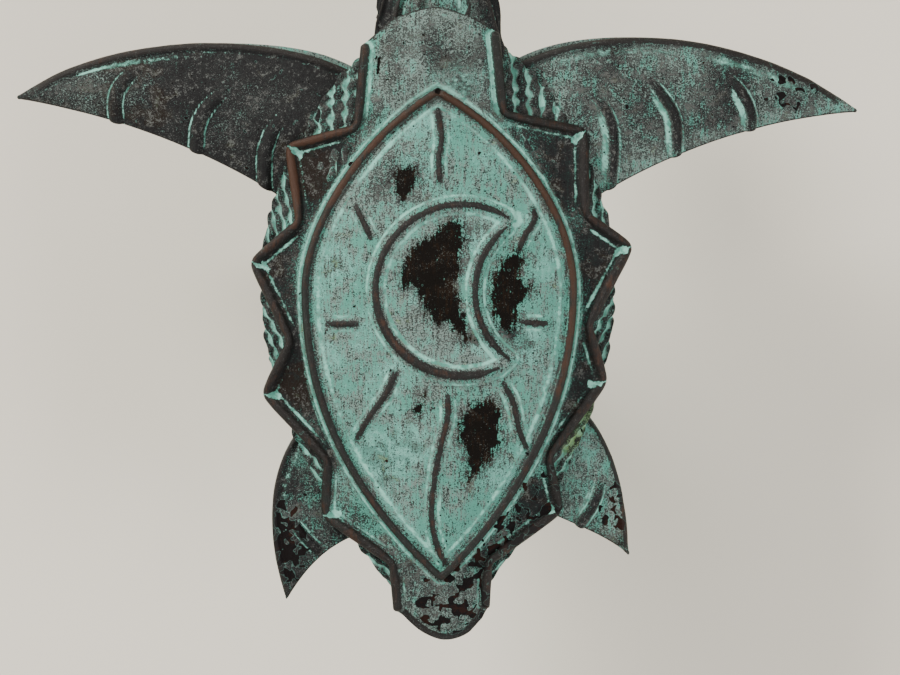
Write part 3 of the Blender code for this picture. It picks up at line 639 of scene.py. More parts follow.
def patina(name, seed=0.0, masked=True):
    """Verdigris over copper, led by the sheet's masks: dark tarnish (on the medallion also painted shade
    beside the beads and painted light across it), worn crests, lodged mint.
    """
    p = Painter(name)
    crest, deposit, dark, bare, flake, brown, grey, ochre = (
        p.attribute(mask) if masked else UNMASKED.get(mask, 0.0) for mask in MASKS
    )
    shifted = node(p.tree, "ShaderNodeVectorMath", operation="ADD")
    p.link(p.place, shifted.inputs[0])
    shifted.inputs[1].default_value = (seed, seed * 0.7, seed * 0.3)
    p.place = shifted.outputs[0]

    cloud = p.wave(26.0, 4.0, 0.55, 0.5)
    blotch = p.wave(90.0, 4.0, 0.60, 0.4)
    mottle = p.wave(300.0, 4.0, 0.65)
    speck = p.wave(1000.0, 3.0, 0.65)
    streak = p.wave(1.0, 4.0, 0.65, vector=p.stretched((600.0, 62.0, 300.0)))
    grain = p.blend_sum((0.30, mottle), (0.75, speck))

    pale = p.ramp(p.blend_sum((0.5, cloud), (0.5, mottle), (0.3, speck)), -0.35, 0.60)
    colour = p.mix(pale, MINT, MINT_PALE)
    veil = p.blend_sum((0.55, blotch), (0.5, streak), (0.4, speck), (0.8, grey), (0.4, dark))
    colour = p.mix(p.times(p.ramp(veil, 0.12, 0.70), 0.84), colour, DUST)
    deep = p.ramp(p.blend_sum((0.8, cloud), (0.5, blotch), (-0.4, grey), (-0.3, dark)), 0.20, 0.75)
    colour = p.mix(p.times(deep, 0.50), colour, MINT_DEEP)
    speckled = p.ramp(p.blend_sum((1.0, grain), (0.28, streak), (0.20, blotch), (0.5, dark)), 0.09, 0.45)
    colour = p.mix(p.times(speckled, 0.92), colour, SPECKLE)

    shade = p.ramp(p.blend_sum((1.0, dark), (0.12, cloud), (0.10, blotch), (0.36, grain)), 0.22, 0.62)
    tint = p.mix(p.ramp(p.blend_sum((1.0, brown), (0.6, blotch)), 0.35, 0.85), DARK, DARK_BROWN)
    fleck = p.ramp(p.blend_sum((0.62, speck), (0.50, mottle), (0.50, blotch), (-0.25, dark)), -0.02, 0.62)
    tint = p.mix(p.times(fleck, 0.72), tint, DUST_ON_DARK)
    colour = p.mix(p.times(shade, 0.96), colour, tint)

    lodged = p.ramp(p.blend_sum((1.0, deposit), (0.26, mottle), (0.18, speck)), 0.36, 0.80)
    colour = p.mix(p.times(lodged, 0.90), colour, p.mix(p.ramp(blotch, -0.2, 0.5), LODGED, MINT))
    yellowed = p.ramp(p.blend_sum((1.0, ochre), (0.5, blotch)), 0.30, 1.0)
    colour = p.mix(p.times(yellowed, p.blend(shade, 0.85, 0.10)), colour, OCHRE)

    worn = p.ramp(p.blend_sum((1.0, crest), (0.20, mottle), (0.18, speck)), 0.32, 0.62)
    dust = p.ramp(p.blend_sum((0.8, speck), (0.5, mottle)), 0.15, 0.9)
    dusty = p.mix(p.times(dust, 0.30), CREST, DUST_ON_DARK)
    rubbed_through = p.blend_sum((1.6, crest), (0.9, brown), (0.45, blotch), (0.3, streak))
    top = p.mix(p.ramp(rubbed_through, 1.75, 2.60), dusty, COPPER)
    colour = p.mix(p.times(worn, 0.97), colour, top)

    rubbed = p.ramp(p.blend_sum((1.0, bare), (0.30, streak), (0.28, mottle), (0.22, speck)), 0.40, 0.62)
    laid_bare = p.mix(p.ramp(p.blend_sum((1, streak), (1, blotch)), 0.1, 0.8), BARE, BARE_BROWN)
    dust = p.ramp(p.blend_sum((1.0, speck), (0.4, blotch)), 0.60, 1.1)
    laid_bare = p.mix(p.times(dust, 0.40), laid_bare, DUST)
    colour = p.mix(rubbed, colour, laid_bare)

    chipped = p.blend_sum((1.0, flake), (0.9, p.wave(150.0, 1.5, 0.40, 0.3)), (0.06, mottle))
    chip, rim = p.ramp(chipped, 1.16, 1.20), p.ramp(chipped, 1.04, 1.16)
    colour = p.mix(p.times(rim, 0.20), colour, MINT_PALE)
    under = p.mix(p.ramp(p.add(blotch, brown), 0.35, 0.65), FLAKE_BLACK, FLAKE_RED)
    colour = p.mix(chip, colour, under)

    pit = p.maths("LESS_THAN", p.voronoi(210.0), 0.14)
    chosen = p.maths("GREATER_THAN", p.voronoi(210.0, "Color"), 0.72)
    pit = p.times(p.times(pit, chosen), p.maths("SUBTRACT", 1.0, worn))
    colour = p.mix(pit, colour, PIT)
    p.put(colour, p.shader.inputs["Base Color"])

    rough = p.blend(shade, 0.88, 0.66)
    rough = p.blend(worn, rough, 0.48)
    rough = p.blend(p.maths("MAXIMUM", rubbed, chip), rough, 0.58)
    p.put(p.add(rough, p.times(grain, 0.10)), p.shader.inputs["Roughness"])
    p.put(p.times(worn, 0.12), p.shader.inputs["Metallic"])
    p.put(p.blend(rubbed, p.blend(worn, 0.12, 0.26), 0.08), p.shader.inputs["Specular IOR Level"])

    relief = p.blend_sum((0.8, grain), (0.45, lodged), (-0.6, chip), (-0.3, rubbed), (-1.2, pit))
    p.put(p.bump(relief, 0.6, 0.0004), p.shader.inputs["Normal"])
    return p.material


def turned_metal(name, colour, roughness, tarnish, stripes):
    """Machined metal: fine turning marks round the axis, and a dull uneven tarnish."""
    p = Painter(name)
    dull = p.noise(60.0, 5.0, 0.6)
    marks = p.noise(1.0, 3.0, 0.5, vector=p.stretched(stripes))
    shade = p.times(p.ramp(dull, 0.40, 0.66), 0.8)
    bright = tuple(c * 1.25 for c in colour)
    p.put(p.mix(shade, p.mix(marks, colour, bright), tarnish), p.shader.inputs["Base Color"])
    rough = p.blend(shade, roughness, roughness + 0.25)
    p.put(p.add(p.times(marks, 0.18), rough), p.shader.inputs["Roughness"])
    p.shader.inputs["Metallic"].default_value = 1.0
    p.put(p.bump(marks, 0.35, 0.00015), p.shader.inputs["Normal"])
    return p.material


# --- Medallion

def arc(centre, radius, start, end, count=90):
    a = np.linspace(start, end, count)
    return np.stack([centre[0] + radius * np.cos(a), centre[1] + radius * np.sin(a)], axis=1)


def moon_lines():
    """The crescent's outer and inner lines, which nearly meet at its two tips."""
    ends = []
    for centre in (MOON_CENTRE, MOON_INNER_CENTRE):
        ends.append([math.atan2(y - centre[1], x - centre[0]) for x, y in MOON_TIPS])
    outer = arc(MOON_CENTRE, MOON_RADIUS, ends[0][0] + 0.03, ends[0][1] - 0.16)
    inner = arc(MOON_INNER_CENTRE, MOON_INNER_RADIUS, ends[1][0] + 0.09, ends[1][1] - 0.04, 50)
    return outer, inner


def medallion():
    count = 640
    angles = full_turn(count)
    rim = np.interp(angles, TURNS, MEDALLION_R)
    steps = spread((0.06, 4), (0.90, 88), (1.0, 34))
    x, y = polar_grid(angles, np.zeros(count), rim + MEDALLION_OVERHANG, steps)
    base = np.stack([x, y, shell_height(x, y)], axis=2)
    normals = normals_of(base, True)

    edge = near(x, y, MEDALLION, closed=True)[0]
    bead = roll(edge, MEDALLION_BEAD)
    within = inside(x, y, MEDALLION)
    deep = np.where(within, edge, 0)
    relief = 3.1 * bead
    relief += np.where(within, 1.5 * smoothstep(4, 26, deep) - 0.5 * line(edge, 4.0, 1.3), 0)
    relief += 0.55 * line(deep, 8.4, 1.1)
    relief += 0.45 * lumps(x, y, 31, 1) + 0.22 * lumps(x, y, 12, 2)
    crest = np.where(edge < MEDALLION_BEAD, 0.35 + 0.65 * bead, 0) * smoothstep(MEDALLION_BEAD, 2.4, edge)
    ring_glow = (0.68 + 0.34 * lumps(x, y, 19, 4)) * line(deep, 8.8, 2.0)
    mint = np.where(within, combine(0.30 * line(edge, 5.6, 1.0), ring_glow), 0.2)

    outer, inner = moon_lines()
    crescent = np.vstack([outer, inner[::-1]])
    ring = near(x, y, crescent, closed=True)[0]
    in_moon = inside(x, y, crescent)
    # Painted shade: a dark strip along the foot of the oval bead, the moon's lines and the rays, partly
    # speckled dark tarnish; it feeds the dark mask below.
    shade_and_tarnish_halo = smoothstep(7.4, 3.4, edge) * within
    relief += 2.4 * smoothstep(8.0, 2.5, ring)
    for path, widest in ((outer, 2.5), (inner, 2.4)):
        d, _, s = near(x, y, path)
        length = length_of(path)
        swell = 1.0 * smoothstep(0.45, 0.70, s / length) * smoothstep(1.0, 0.86, s / length) * (path is outer)
        half = (widest + swell) * (0.45 + 0.55 * smoothstep(0, 14, s) * smoothstep(length, length - 16, s))
        relief += 1.3 * roll(d, half)
        crest = combine(crest, smoothstep(half + 0.7, half - 0.7, d) * (0.60 + 0.40 * roll(d, half)))
        shade_and_tarnish_halo = combine(shade_and_tarnish_halo, smoothstep(half + 2.6, half - 0.4, d))
    light = np.where(in_moon, line(ring, 6.2, 1.5), line(ring, 6.6, 1.3))
    low_left = smoothstep(-15, 25, y) * in_moon
    mint = combine(mint, light * (0.70 + 0.38 * lumps(x, y, 16, 6) + 0.32 * low_left))
    tip_glow = spot(x, y, -54, -57, 10, 3)
    mint = combine(mint, 0.9 * tip_glow * smoothstep(3.0, 4.5, ring))

    for points in RAYS:
        path = smooth_line(points)
        d, _, s = near(x, y, path)
        length = length_of(path)
        taper = smoothstep(-1, 6, s) * smoothstep(length + 1, length - 6, s)
        relief += 1.0 * smoothstep(6.5, 2.0, d) + 1.3 * roll(d, RAY_HALF_WIDTH) * taper
        crest = combine(crest, smoothstep(2.8, 1.5, d) * (0.6 + 0.4 * taper * roll(d, RAY_HALF_WIDTH)))
        shade_and_tarnish_halo = combine(shade_and_tarnish_halo, smoothstep(4.6, 2.0, d))
        sides = smoothstep(0, 4, s) * smoothstep(length, length - 4, s)
        mint = combine(mint, sides * (0.68 + 0.36 * lumps(x, y, 9, 7)) * line(d, 5.0, 1.4))

    bare, around_bare = np.zeros(x.shape), np.zeros(x.shape)
    for outline in BARE_PATCHES:
        depth = depth_in(x, y, outline) + 2.0 * lumps(x * 1.8, y, 5.5, 3)
        bare = combine(bare, smoothstep(-5.5, 5.0, depth))
        around_bare = combine(around_bare, smoothstep(-13, -1, depth))
    dark = 0.20 * smoothstep(-0.2, 0.8, lumps(x, y, 42, 5))
    moon_shadow = spot(x, y, 4, 16, 34, 10) + spot(x, y, -62, 34, 22, 6)
    top_shadow = spot(x, y, 18, -84, 44, 12) + 0.7 * spot(x, y, 40, -62, 30, 8)
    low_shadow = spot(x, y, -22, 74, 34, 10) + 0.8 * spot(x, y, 8, 66, 26, 8)
    dark = dark + 0.26 * np.clip(moon_shadow + top_shadow + low_shadow, 0, 1)
    # Painted light: lighter towards the turtle's right (x < 0) and darker towards its left (x > 0), evening
    # out the key light's side-to-side fall-off; also darker towards the head.
    dark += 0.07 * smoothstep(-60, -100, y) - 0.09 * smoothstep(-35, -75, x) + 0.05 * smoothstep(35, 75, x)
    dark = combine(dark, 0.45 * around_bare, 0.46 * shade_and_tarnish_halo)
    grey = 0.20 + 0.30 * spot(x, y, 50, -60, 70, 10) + 0.30 * smoothstep(-0.1, 0.7, lumps(x, y, 36, 8))
    grey += 0.28 * in_moon + 0.20 * smoothstep(-40, -90, y)
    apex = np.hypot(x, y + 148.5)
    bare = combine(bare, 0.9 * smoothstep(3.0, 1.4, apex))
    relief -= 2.0 * smoothstep(2.6, 1.0, apex)
    brown = 0.20 + 0.2 * lumps(x, y, 30, 9)
    brown += 0.80 * np.where(x < 0, smoothstep(110, 20, y), smoothstep(10, -90, y)) * smoothstep(8, 2, edge)
    brown += 0.40 * spot(x, y, 30, 22, 24, 6) * in_moon

    back = ([0, 30, 60, 80, 92, 104, 112, 120, len(steps) - 1], 1.0, 2.4)
    masks = dict(crest=crest, mint=mint, dark=dark, bare=bare, brown=brown, grey=grey)
    emboss(
        "carapace_medallion_embossed", "carapace_medallion", ("patina_medallion", 1.3),
        base, normals, relief, back, masks, 0.5, pole=True,
    )


# --- Collar

def offset_radius(outline, table, angles, distance):
    """Radius at which each ray is this far outside an outline."""
    low = np.interp(angles, TURNS, table)
    high = low + 3.5 * distance
    for _ in range(18):
        middle = (low + high) / 2
        d = near(middle * np.cos(angles), middle * np.sin(angles), outline, closed=True)[0]
        low = np.where(d < distance, middle, low)
        high = np.where(d < distance, high, middle)
    return (low + high) / 2


def collar_angles(count):
    """Directions spaced evenly along the star's edge, so that its points stay crisp."""
    x, y = np.cos(TURNS) * STAR_R, np.sin(TURNS) * STAR_R
    length = np.concatenate([[0], np.cumsum(np.hypot(np.diff(x), np.diff(y)))])
    return np.interp(np.arange(count) / count * length[-1], length, TURNS)


def collar():
    count = 1100
    angles = collar_angles(count)
    inner = np.interp(angles, TURNS, MEDALLION_R) - COLLAR_TUCK
    outer = offset_radius(STAR, STAR_R, angles, COLLAR_OVERHANG)
    steps = spread((0.18, 6), (0.62, 24), (1.0, 36))
    x, y = polar_grid(angles, inner, outer, steps)
    base = np.stack([x, y, shell_height(x, y) - COLLAR_BELOW], axis=2)
    normals = normals_of(base, True)

    left = near(x, y, rounded(STAR_LEFT, CORNER_CUT))[0]
    right = near(x, y, rounded(STAR_RIGHT, CORNER_CUT))[0]
    edge = np.minimum(left, right)
    rim = near(x, y, STAR, closed=True)[0]
    almond = near(x, y, MEDALLION, closed=True)[0]
    corner = nearest_of(x, y, STAR_LEFT[1:-1] + STAR_RIGHT[1:-1])
    half = 2.8 + 0.9 * smoothstep(1, 16, corner)
    bead = roll(edge, half)
    on_guard = smoothstep(-120, -140, y) * (np.abs(x + 2) < 56)
    on_tail = smoothstep(184, 196, y)
    facet = (1 - on_guard) * (1 - on_tail)
    relief = 3.3 * bead
    relief -= facet * 2.2 * smoothstep(2.5, 10, np.minimum(edge, almond - 2))
    relief -= 0.7 * line(edge, 4.4, 1.2)
    relief += 0.35 * lumps(x, y, 24, 11) + 0.18 * lumps(x, y, 9, 12)
    relief += 0.5 * line(almond, 5.4, 1.0)
    signed_rim = np.where(inside(x, y, STAR), rim, -rim)
    lip = smoothstep(2.6, 1.0, signed_rim) * (edge > 5)
    relief -= on_guard * 0.8 * lip
    base = base - normals * (on_tail * 3.0 * smoothstep(9, 0, rim) * smoothstep(3, 7, edge))[..., None]
    crest = smoothstep(half + 0.8, half - 0.6, edge) * (0.66 + 0.34 * bead)
    guard_edge = 0.62 * on_guard * smoothstep(-0.9, -2.2, signed_rim) * (edge > 5)
    crest = combine(crest, 0.75 * lip * on_tail, guard_edge)

    uneven = 0.72 + 0.30 * lumps(x, y, 12, 13) + 0.35 * lumps(x, y, 37, 17)
    notch = nearest_of(x, y, STAR_LEFT[1:-1:2] + STAR_RIGHT[1:-1:2])
    beside = 0.80 * uneven * line(edge, 6.0, 1.4) * smoothstep(5, 15, notch)
    mint = combine(beside, 0.95 * line(almond, 4.8, 0.9))
    mint = combine(mint, 0.50 * uneven * line(almond, 7.4, 0.9))
    side_band = on_guard * smoothstep(9, 4.5, edge) * (edge > 2.8)
    mint = combine(mint, 0.85 * side_band)
    for side in (STAR_LEFT, STAR_RIGHT):
        for before, tip, after in zip(side[1:8:2], side[2:9:2], side[3:10:2]):
            into = np.array(before) + np.array(after) - 2 * np.array(tip)
            into = into / np.linalg.norm(into)
            start, end = np.array(tip) - 2.2 * into, np.array(tip) + 8.8 * into
            d, _, s = near(x, y, (start, end))
            ragged = 0.5 + 0.5 * lumps(x, y, 2.4, 15)
            crack = smoothstep(0.9, 0.2, d - (0.5 + 3.2 * ragged) * smoothstep(3.5, 8.0, s))
            mint = combine(mint, 0.95 * crack)
            crest = crest * (1 - crack)
    apex_glow = spot(x, y, -12, -152, 34, 8) * on_guard
    mint = combine(mint, 0.45 * apex_glow)

    tarnish = 0.56 + 0.32 * smoothstep(7, 24, almond) + 0.20 * lumps(x, y, 26, 14)
    tarnish += 0.32 * spot(x, y, 92, 48, 46, 22) - 0.16 * smoothstep(15, 6, edge)
    tarnish -= 0.30 * spot(x, y, 62, 150, 44, 16)
    dark = facet * tarnish + on_guard * (0.31 + 0.12 * lumps(x, y, 17, 18)) + on_tail * 0.38
    dark = dark * smoothstep(3.0, 9.0, almond) + 0.08
    dark += 0.10 * on_guard * spot(x, y, -4, -180, 26, 4, (1, 0.9))
    grey = 0.95 * on_guard * smoothstep(5, 12, edge) + 0.95 * on_tail + 0.3 * facet
    bare = smoothstep(1.5, 0.5, near(x, y, GUARD_SLOT)[0])
    for across, down in GUARD_PITS:
        bare = combine(bare, spot(x, y, across, down, 1.5, 0.6, (0.8, 1)))
    relief -= 0.8 * bare
    brown = 0.30 + 0.7 * spot(x, y, 88, -88, 30, 10) + 0.7 * spot(x, y, 97, 60, 26, 6)
    brown += 0.55 * smoothstep(3.4, 2.2, edge) * (x > 60) * (y < -50) + 0.2 * lumps(x, y, 20, 16)
    flake = 1.02 * smoothstep(46, 10, near(x, y, FLAKED_BAND)[0] * 1.35)
    flake = flake * (x < 12)
    for across, down in TAIL_FLAKES:
        flake = combine(flake, 1.45 * spot(x, y, across, down, 8.5, 5.5, (0.75, 1.4)))

    back = ([0, 3, *range(6, 61, 6), len(steps) - 1], 1.1, 3.6)
    masks = dict(crest=crest, mint=mint, dark=dark, bare=bare, flake=flake, brown=brown, grey=grey)
    emboss(
        "carapace_collar_star", "carapace_collar", ("patina_collar", 4.1),
        base, normals, relief, back, masks, 0.55,
    )


# --- Skirt and belly

ROPE_PITCH = 5.7
SHOULDER_PITCH = 9.0
ROPE_TWIST = 11.5


def rope_ridges(x, y):
    """Ridges that run along the collar's edge behind each point, stacked outwards from it."""
    depth, along = np.zeros(x.shape), np.zeros(x.shape)
    pitch = np.full(x.shape, ROPE_PITCH)
    turn = np.arctan2(np.abs(x), -y)
    for side, sign in ((STAR_LEFT, 1), (STAR_RIGHT, -1)):
        pairs = [(side[0], side[1])] + [(side[i], side[i + 1]) for i in (2, 4, 6, 8)]
        starts = [math.atan2(abs(a[0]), -a[1]) for a, _ in pairs]
        ends = starts[1:] + [math.pi + 0.01]
        starts[0] = -0.01
        for (a, b), low, high in zip(pairs, starts, ends):
            ex, ey = b[0] - a[0], b[1] - a[1]
            length = math.hypot(ex, ey)
            out = ((x - a[0]) * ey - (y - a[1]) * ex) / length * sign
            here = (np.sign(x + 1e-9) == sign) & (turn >= low) & (turn < high)
            depth = np.where(here, out, depth)
            along = np.where(here, ((x - a[0]) * ex + (y - a[1]) * ey) / length, along)
            if (a, b) == pairs[0]:
                pitch = np.where(here, SHOULDER_PITCH, pitch)
    return depth, along, pitch


def skirt():
    count = 1300
    angles = full_turn(count)
    seam = np.interp(angles, TURNS, SEAM_R)
    steps = np.linspace(0, 1, 64) ** 0.9
    x, y = polar_grid(angles, seam * SKIRT_INNER, seam * 0.998, steps)
    base = np.stack([x, y, skirt_height(x, y) + HALF_GAP], axis=2)
    normals = normals_of(base, True)
    depth, along, pitch = rope_ridges(x, y)
    depth = depth + 0.9 * lumps(along, depth * 0.4, 11, 21)
    first = np.floor((depth - 1.0) / pitch)
    twist = 2 * math.pi * (along + 4.3 * first) / ROPE_TWIST + 2.2 * lumps(x, y, 15, 22)
    lobe = 0.5 + 0.5 * np.sin(twist)
    phase = (depth - 1.0) / pitch + 0.10 * np.sin(twist + 1.0)
    ridge = np.abs(np.sin(math.pi * phase)) ** 0.8
    rope = (1.9 + 0.12 * pitch) * ridge * (0.60 + 0.40 * lobe) * smoothstep(-4.0, -0.5, depth)
    relief = rope - 0.6 + 0.3 * lumps(x, y, 6, 23)
    # The ropes stand proud of the seam, which scallops the outline seen from above.
    proud = 0.95 * rope * smoothstep(0.90, 0.985, share_of(SEAM_R, x, y))
    base[..., 0] += proud * np.cos(angles)[:, None]
    base[..., 1] += proud * np.sin(angles)[:, None]
    reach = 0.78 - 0.30 * lobe + 0.16 * lumps(x, y, 5, 24)
    crest = smoothstep(reach - 0.16, reach + 0.16, ridge) * (0.34 + 0.26 * lumps(x, y, 7, 26))
    mint = smoothstep(reach + 0.05, reach - 0.25, ridge) * (0.90 + 0.25 * lumps(x, y, 8, 25))
    flake = 0.85 * spot(x, y, -62, 185, 40, 10)
    ochre = 0.95 * spot(x, y, -108, 93, 27, 10, (0.9, 0.75))
    dark = 0.22 + 0.36 * smoothstep(reach - 0.16, reach + 0.16, ridge)
    back = ([0, 12, 24, 36, 48, 56, 63], 1.4, 1.8)
    masks = dict(crest=crest, mint=mint, dark=dark, flake=flake, brown=0.15, grey=0.6, ochre=ochre)
    emboss(
        "carapace_skirt_roped", "carapace_skirt", ("patina_skirt", 7.7),
        base, normals, relief, back, masks, 0.4,
    )


def plastron():
    count = 480
    angles = full_turn(count)
    seam = np.interp(angles, TURNS, SEAM_R)
    # The tube's hole: the grid starts on its rim, which is centred on the axis.
    steps = spread((0.92, 84), (1.0, 14))
    rim_x, rim_y = TUBE_HOLE * np.cos(angles), TUBE_HOLE * np.sin(angles) - SHELL_Y
    edge_x, edge_y = seam * np.cos(angles), seam * np.sin(angles)
    share = steps[None, :]
    x = rim_x[:, None] * (1 - share) + edge_x[:, None] * share
    y = rim_y[:, None] * (1 - share) + edge_y[:, None] * share
    base = np.stack([x, y, belly_height(x, y) - HALF_GAP], axis=2)
    normals = -normals_of(base, True)
    seam_line = share_of(SEAM_R, x, y)
    relief = 0.5 * lumps(x, y, 26, 31) + 0.25 * lumps(x, y, 10, 32)
    lip = smoothstep(0.965, 0.985, seam_line)
    relief += 0.5 * lip
    folds = np.zeros(x.shape)
    for place in BELLY_CREASES:
        bowed = y - place - 0.0009 * x**2 * (1 if place > 0 else -1)
        folds = combine(folds, line(np.abs(bowed), 0, 2.0) * smoothstep(0.93, 0.84, seam_line))
    folds = combine(folds, line(np.abs(x), 0, 1.8) * smoothstep(0.93, 0.84, seam_line))
    relief -= 1.2 * folds
    # Two low swellings where the spar leaves the shell for the front flippers.
    relief += 1.9 * smoothstep(16, 4, np.hypot(np.abs(x) - 78, y + 120))
    mint = combine(0.8 * folds, 0.6 * line(seam_line, 0.955, 0.012))
    crest = 0.85 * lip
    dark = 0.34 + 0.25 * lumps(x, y, 38, 33)
    back = ([0, 5, 16, 32, 48, 64, 80, 90, 94, len(steps) - 1], 1.0, 2.8)
    masks = dict(crest=crest, mint=mint, dark=dark, brown=0.1)
    emboss("plastron_pan", "plastron", ("patina_plastron", 11.9), base, normals, relief, back, masks, 0.5)


# --- Flippers

def flipper(name, shape, upper):
    long_count, wide_count = shape["size"]
    along = 1 - np.linspace(1, 0, long_count) ** 1.25
    across = np.linspace(0, 1, wide_count)
    front_flipper = name.startswith("front")
    lead, trail = cubic(shape["lead"], along), cubic(shape["trail"], along)
    if not upper:
        # The underside's edge shows ahead of the top sheet's near the root.
        lead[:, 1] -= (3.6 if front_flipper else 1.0) * smoothstep(0.42, 0.05, along)
    # The tip ends in a small round.
    middle_line = (lead + trail) / 2
    left_over = np.hypot(*(middle_line - middle_line[-1]).T)
    tip_round = 1.5 if front_flipper else 1.3
    forward = np.gradient(middle_line, axis=0)
    forward /= np.linalg.norm(forward, axis=1)[:, None]
    sideways = np.stack([-forward[:, 1], forward[:, 0]], axis=1)
    half_width = ((lead - trail) / 2 * sideways).sum(axis=1)
    swell = np.sqrt(np.clip(2 * tip_round * left_over - left_over**2, 0.01, None))
    swell = np.where(left_over < tip_round, swell, tip_round)
    short = np.maximum(0, swell - np.abs(half_width)) * np.sign(half_width[long_count // 2])
    lead, trail = lead + sideways * short[:, None], trail - sideways * short[:, None]
    v = 0.5 - 0.5 * np.cos(math.pi * across) * (0.35 + 0.65 * np.abs(np.cos(math.pi * across)) ** 0.2)
    v = (v - v[0]) / (v[-1] - v[0])
    x = lead[:, :1] + (trail[:, :1] - lead[:, :1]) * v[None, :]
    y = lead[:, 1:] + (trail[:, 1:] - lead[:, 1:]) * v[None, :]
    u = np.broadcast_to(along[:, None], x.shape)
    middle = ROOT_Z - shape["droop"] * u ** shape["droop_power"]
    hollow = (shape["depth"] * (1 - u) ** 0.6 + 0.8) * 4 * v * (1 - v)
    side = 1 if upper else -1
    z = middle + side * (hollow * (1 if upper else UNDERSIDE_SHARE) + HALF_GAP)
    base = np.stack([x, y, z], axis=2)
    normals = normals_of(base, False) * side

    lead_line = near(x, y, cubic(shape["lead"], np.linspace(0, 1, 60)))[0]
    trail_line = near(x, y, cubic(shape["trail"], np.linspace(0, 1, 60)))[0]
    strong = (1.0 if upper else 0.5) * smoothstep(1.0, 0.82, u)
    seed = 40 + len(name) + (3 if "right" in name else 0)
    relief = 0.45 * lumps(x, y, 22, seed) + 0.2 * lumps(x, y, 8, seed + 1)
    half = 2.8 if front_flipper else 2.2
    relief += 2.2 * roll(lead_line - half, half) * strong * (lead_line < 2 * half)
    relief -= 0.6 * line(lead_line, 2 * half + 1.4, 1.4) * strong
    crest = smoothstep(2 * half + 0.3, 2 * half - 1.6, lead_line) * 0.80 * smoothstep(0.985, 0.90, u)
    crest = combine(crest, 0.7 * smoothstep(1.6, 0.4, trail_line))
    mint = 0.35 * line(lead_line, 2 * half + 1.0, 1.0)
    rib_half = 4.6 if name == "front_flipper_left" else 3.5
    rib = np.zeros(x.shape)
    for points in shape["ribs"]:
        path = smooth_line(points)
        d, towards, s = near(x, y, path)
        length = length_of(path)
        grow = smoothstep(-2, 0.45 * length, s)
        wide = rib_half * (0.72 + 0.28 * grow)
        relief += 3.4 * roll(d, wide, 0.80) * grow * strong + 0.9 * smoothstep(9, 2, d) * grow * strong
        relief -= 0.7 * line(d, wide + 1.0, 1.0) * grow * strong
        edge_glow = line(d, wide + 1.0, 0.7) * (0.95 + 0.20 * lumps(x, y, 10, seed + 2))
        edge_glow = edge_glow * smoothstep(length + 0.2, length - 2.5, s)
        mint = combine(mint, 0.95 * edge_glow * (0.3 + 0.7 * grow))
        if "right" in name:
            body_side = (towards < 0) * smoothstep(0.1, 0.4, s / length) * smoothstep(1.05, 0.75, s / length)
            bright = 0.88 if front_flipper else 0.55
            mint = combine(mint, bright * body_side * line(d, wide + 2.9, 2.3) * upper)
        rib = combine(rib, smoothstep(wide, wide * 0.6, d) * grow)
    if front_flipper:
        if "left" in name:
            sweep = smoothstep(0.30, 0.60, u) * smoothstep(0.83, 0.77, u)
            swell = smoothstep(0.80, 0.58, u)
            glow = line(lead_line, 2 * half + 1.1 + 2.6 * swell, 0.9 + 2.6 * swell)
            mint = combine(mint, (0.95 - 0.47 * swell) * sweep * glow)
            dark = 0.80 + 0.12 * lumps(x, y, 30, 61) + 0.10 * rib - 0.17 * smoothstep(0.52, 0.80, u)
            brown = 0.10 + 0.40 * smoothstep(0.0, 0.7, lumps(x, y, 34, 62))
            grey, flake = 1.15, 0.0
        else:
            sweep = smoothstep(0.02, 0.2, u) * smoothstep(0.88, 0.78, u)
            wash = 0.52 + 0.28 * lumps(x, y, 26, 65)
            mint = combine(mint, wash * sweep * line(lead_line, 2 * half + 4.0, 4.4))
            dark = 0.49 + 0.14 * lumps(x, y, 30, 63) - 0.14 * smoothstep(14, 3, trail_line) + 0.32 * rib
            brown, grey = 0.2, 0.75
            flake = 0.95 * spot(x, y, -250, -148, 24, 6)
    else:
        dark = 0.40 + 0.16 * lumps(x, y, 22, 64) + 0.3 * rib
        mint = combine(mint, 0.30 * smoothstep(0.6, 0.2, u))
        brown, grey = 0.15, 0.6
        if "left" in name:
            flake = 1.36 * spot(x, y, 108, 170, 34, 13, (1.6, 0.75))
            dark += 0.24
            mint = combine(mint, 0.44 * smoothstep(0.75, 0.35, u) * line(lead_line, 8.0, 3.6))
            brown = 0.0
        else:
            flake = 1.12 * spot(x, y, -126, 149, 25, 7, (1.3, 0.9))
            brown += 0.6 * smoothstep(0.45, 0.70, u)
            dark += 0.30 * smoothstep(0.72, 0.92, u)
    if not upper:
        flake, dark, grey = 0.0, 0.46, 0.9

    front = base + normals * relief[..., None]
    columns = np.linspace(0, wide_count - 1, wide_count // 2).astype(int)
    behind = front[:, columns] + normals[:, columns] * np.minimum(0, 0.6 - relief[:, columns])[..., None]
    back = behind - normals[:, columns] * 0.9
    masks = dict(crest=crest, mint=mint, dark=dark, flake=flake, brown=brown, grey=grey)
    hidden = dict(dark=0.55 if upper else 0.14, grey=0.9)
    part = name + ("_top" if upper else "_underside")
    look = patina("patina_" + part, seed * 0.37)
    build_sheet(part + "_sheet", part, front, back, masks, hidden, False, look)


# --- Neck and head

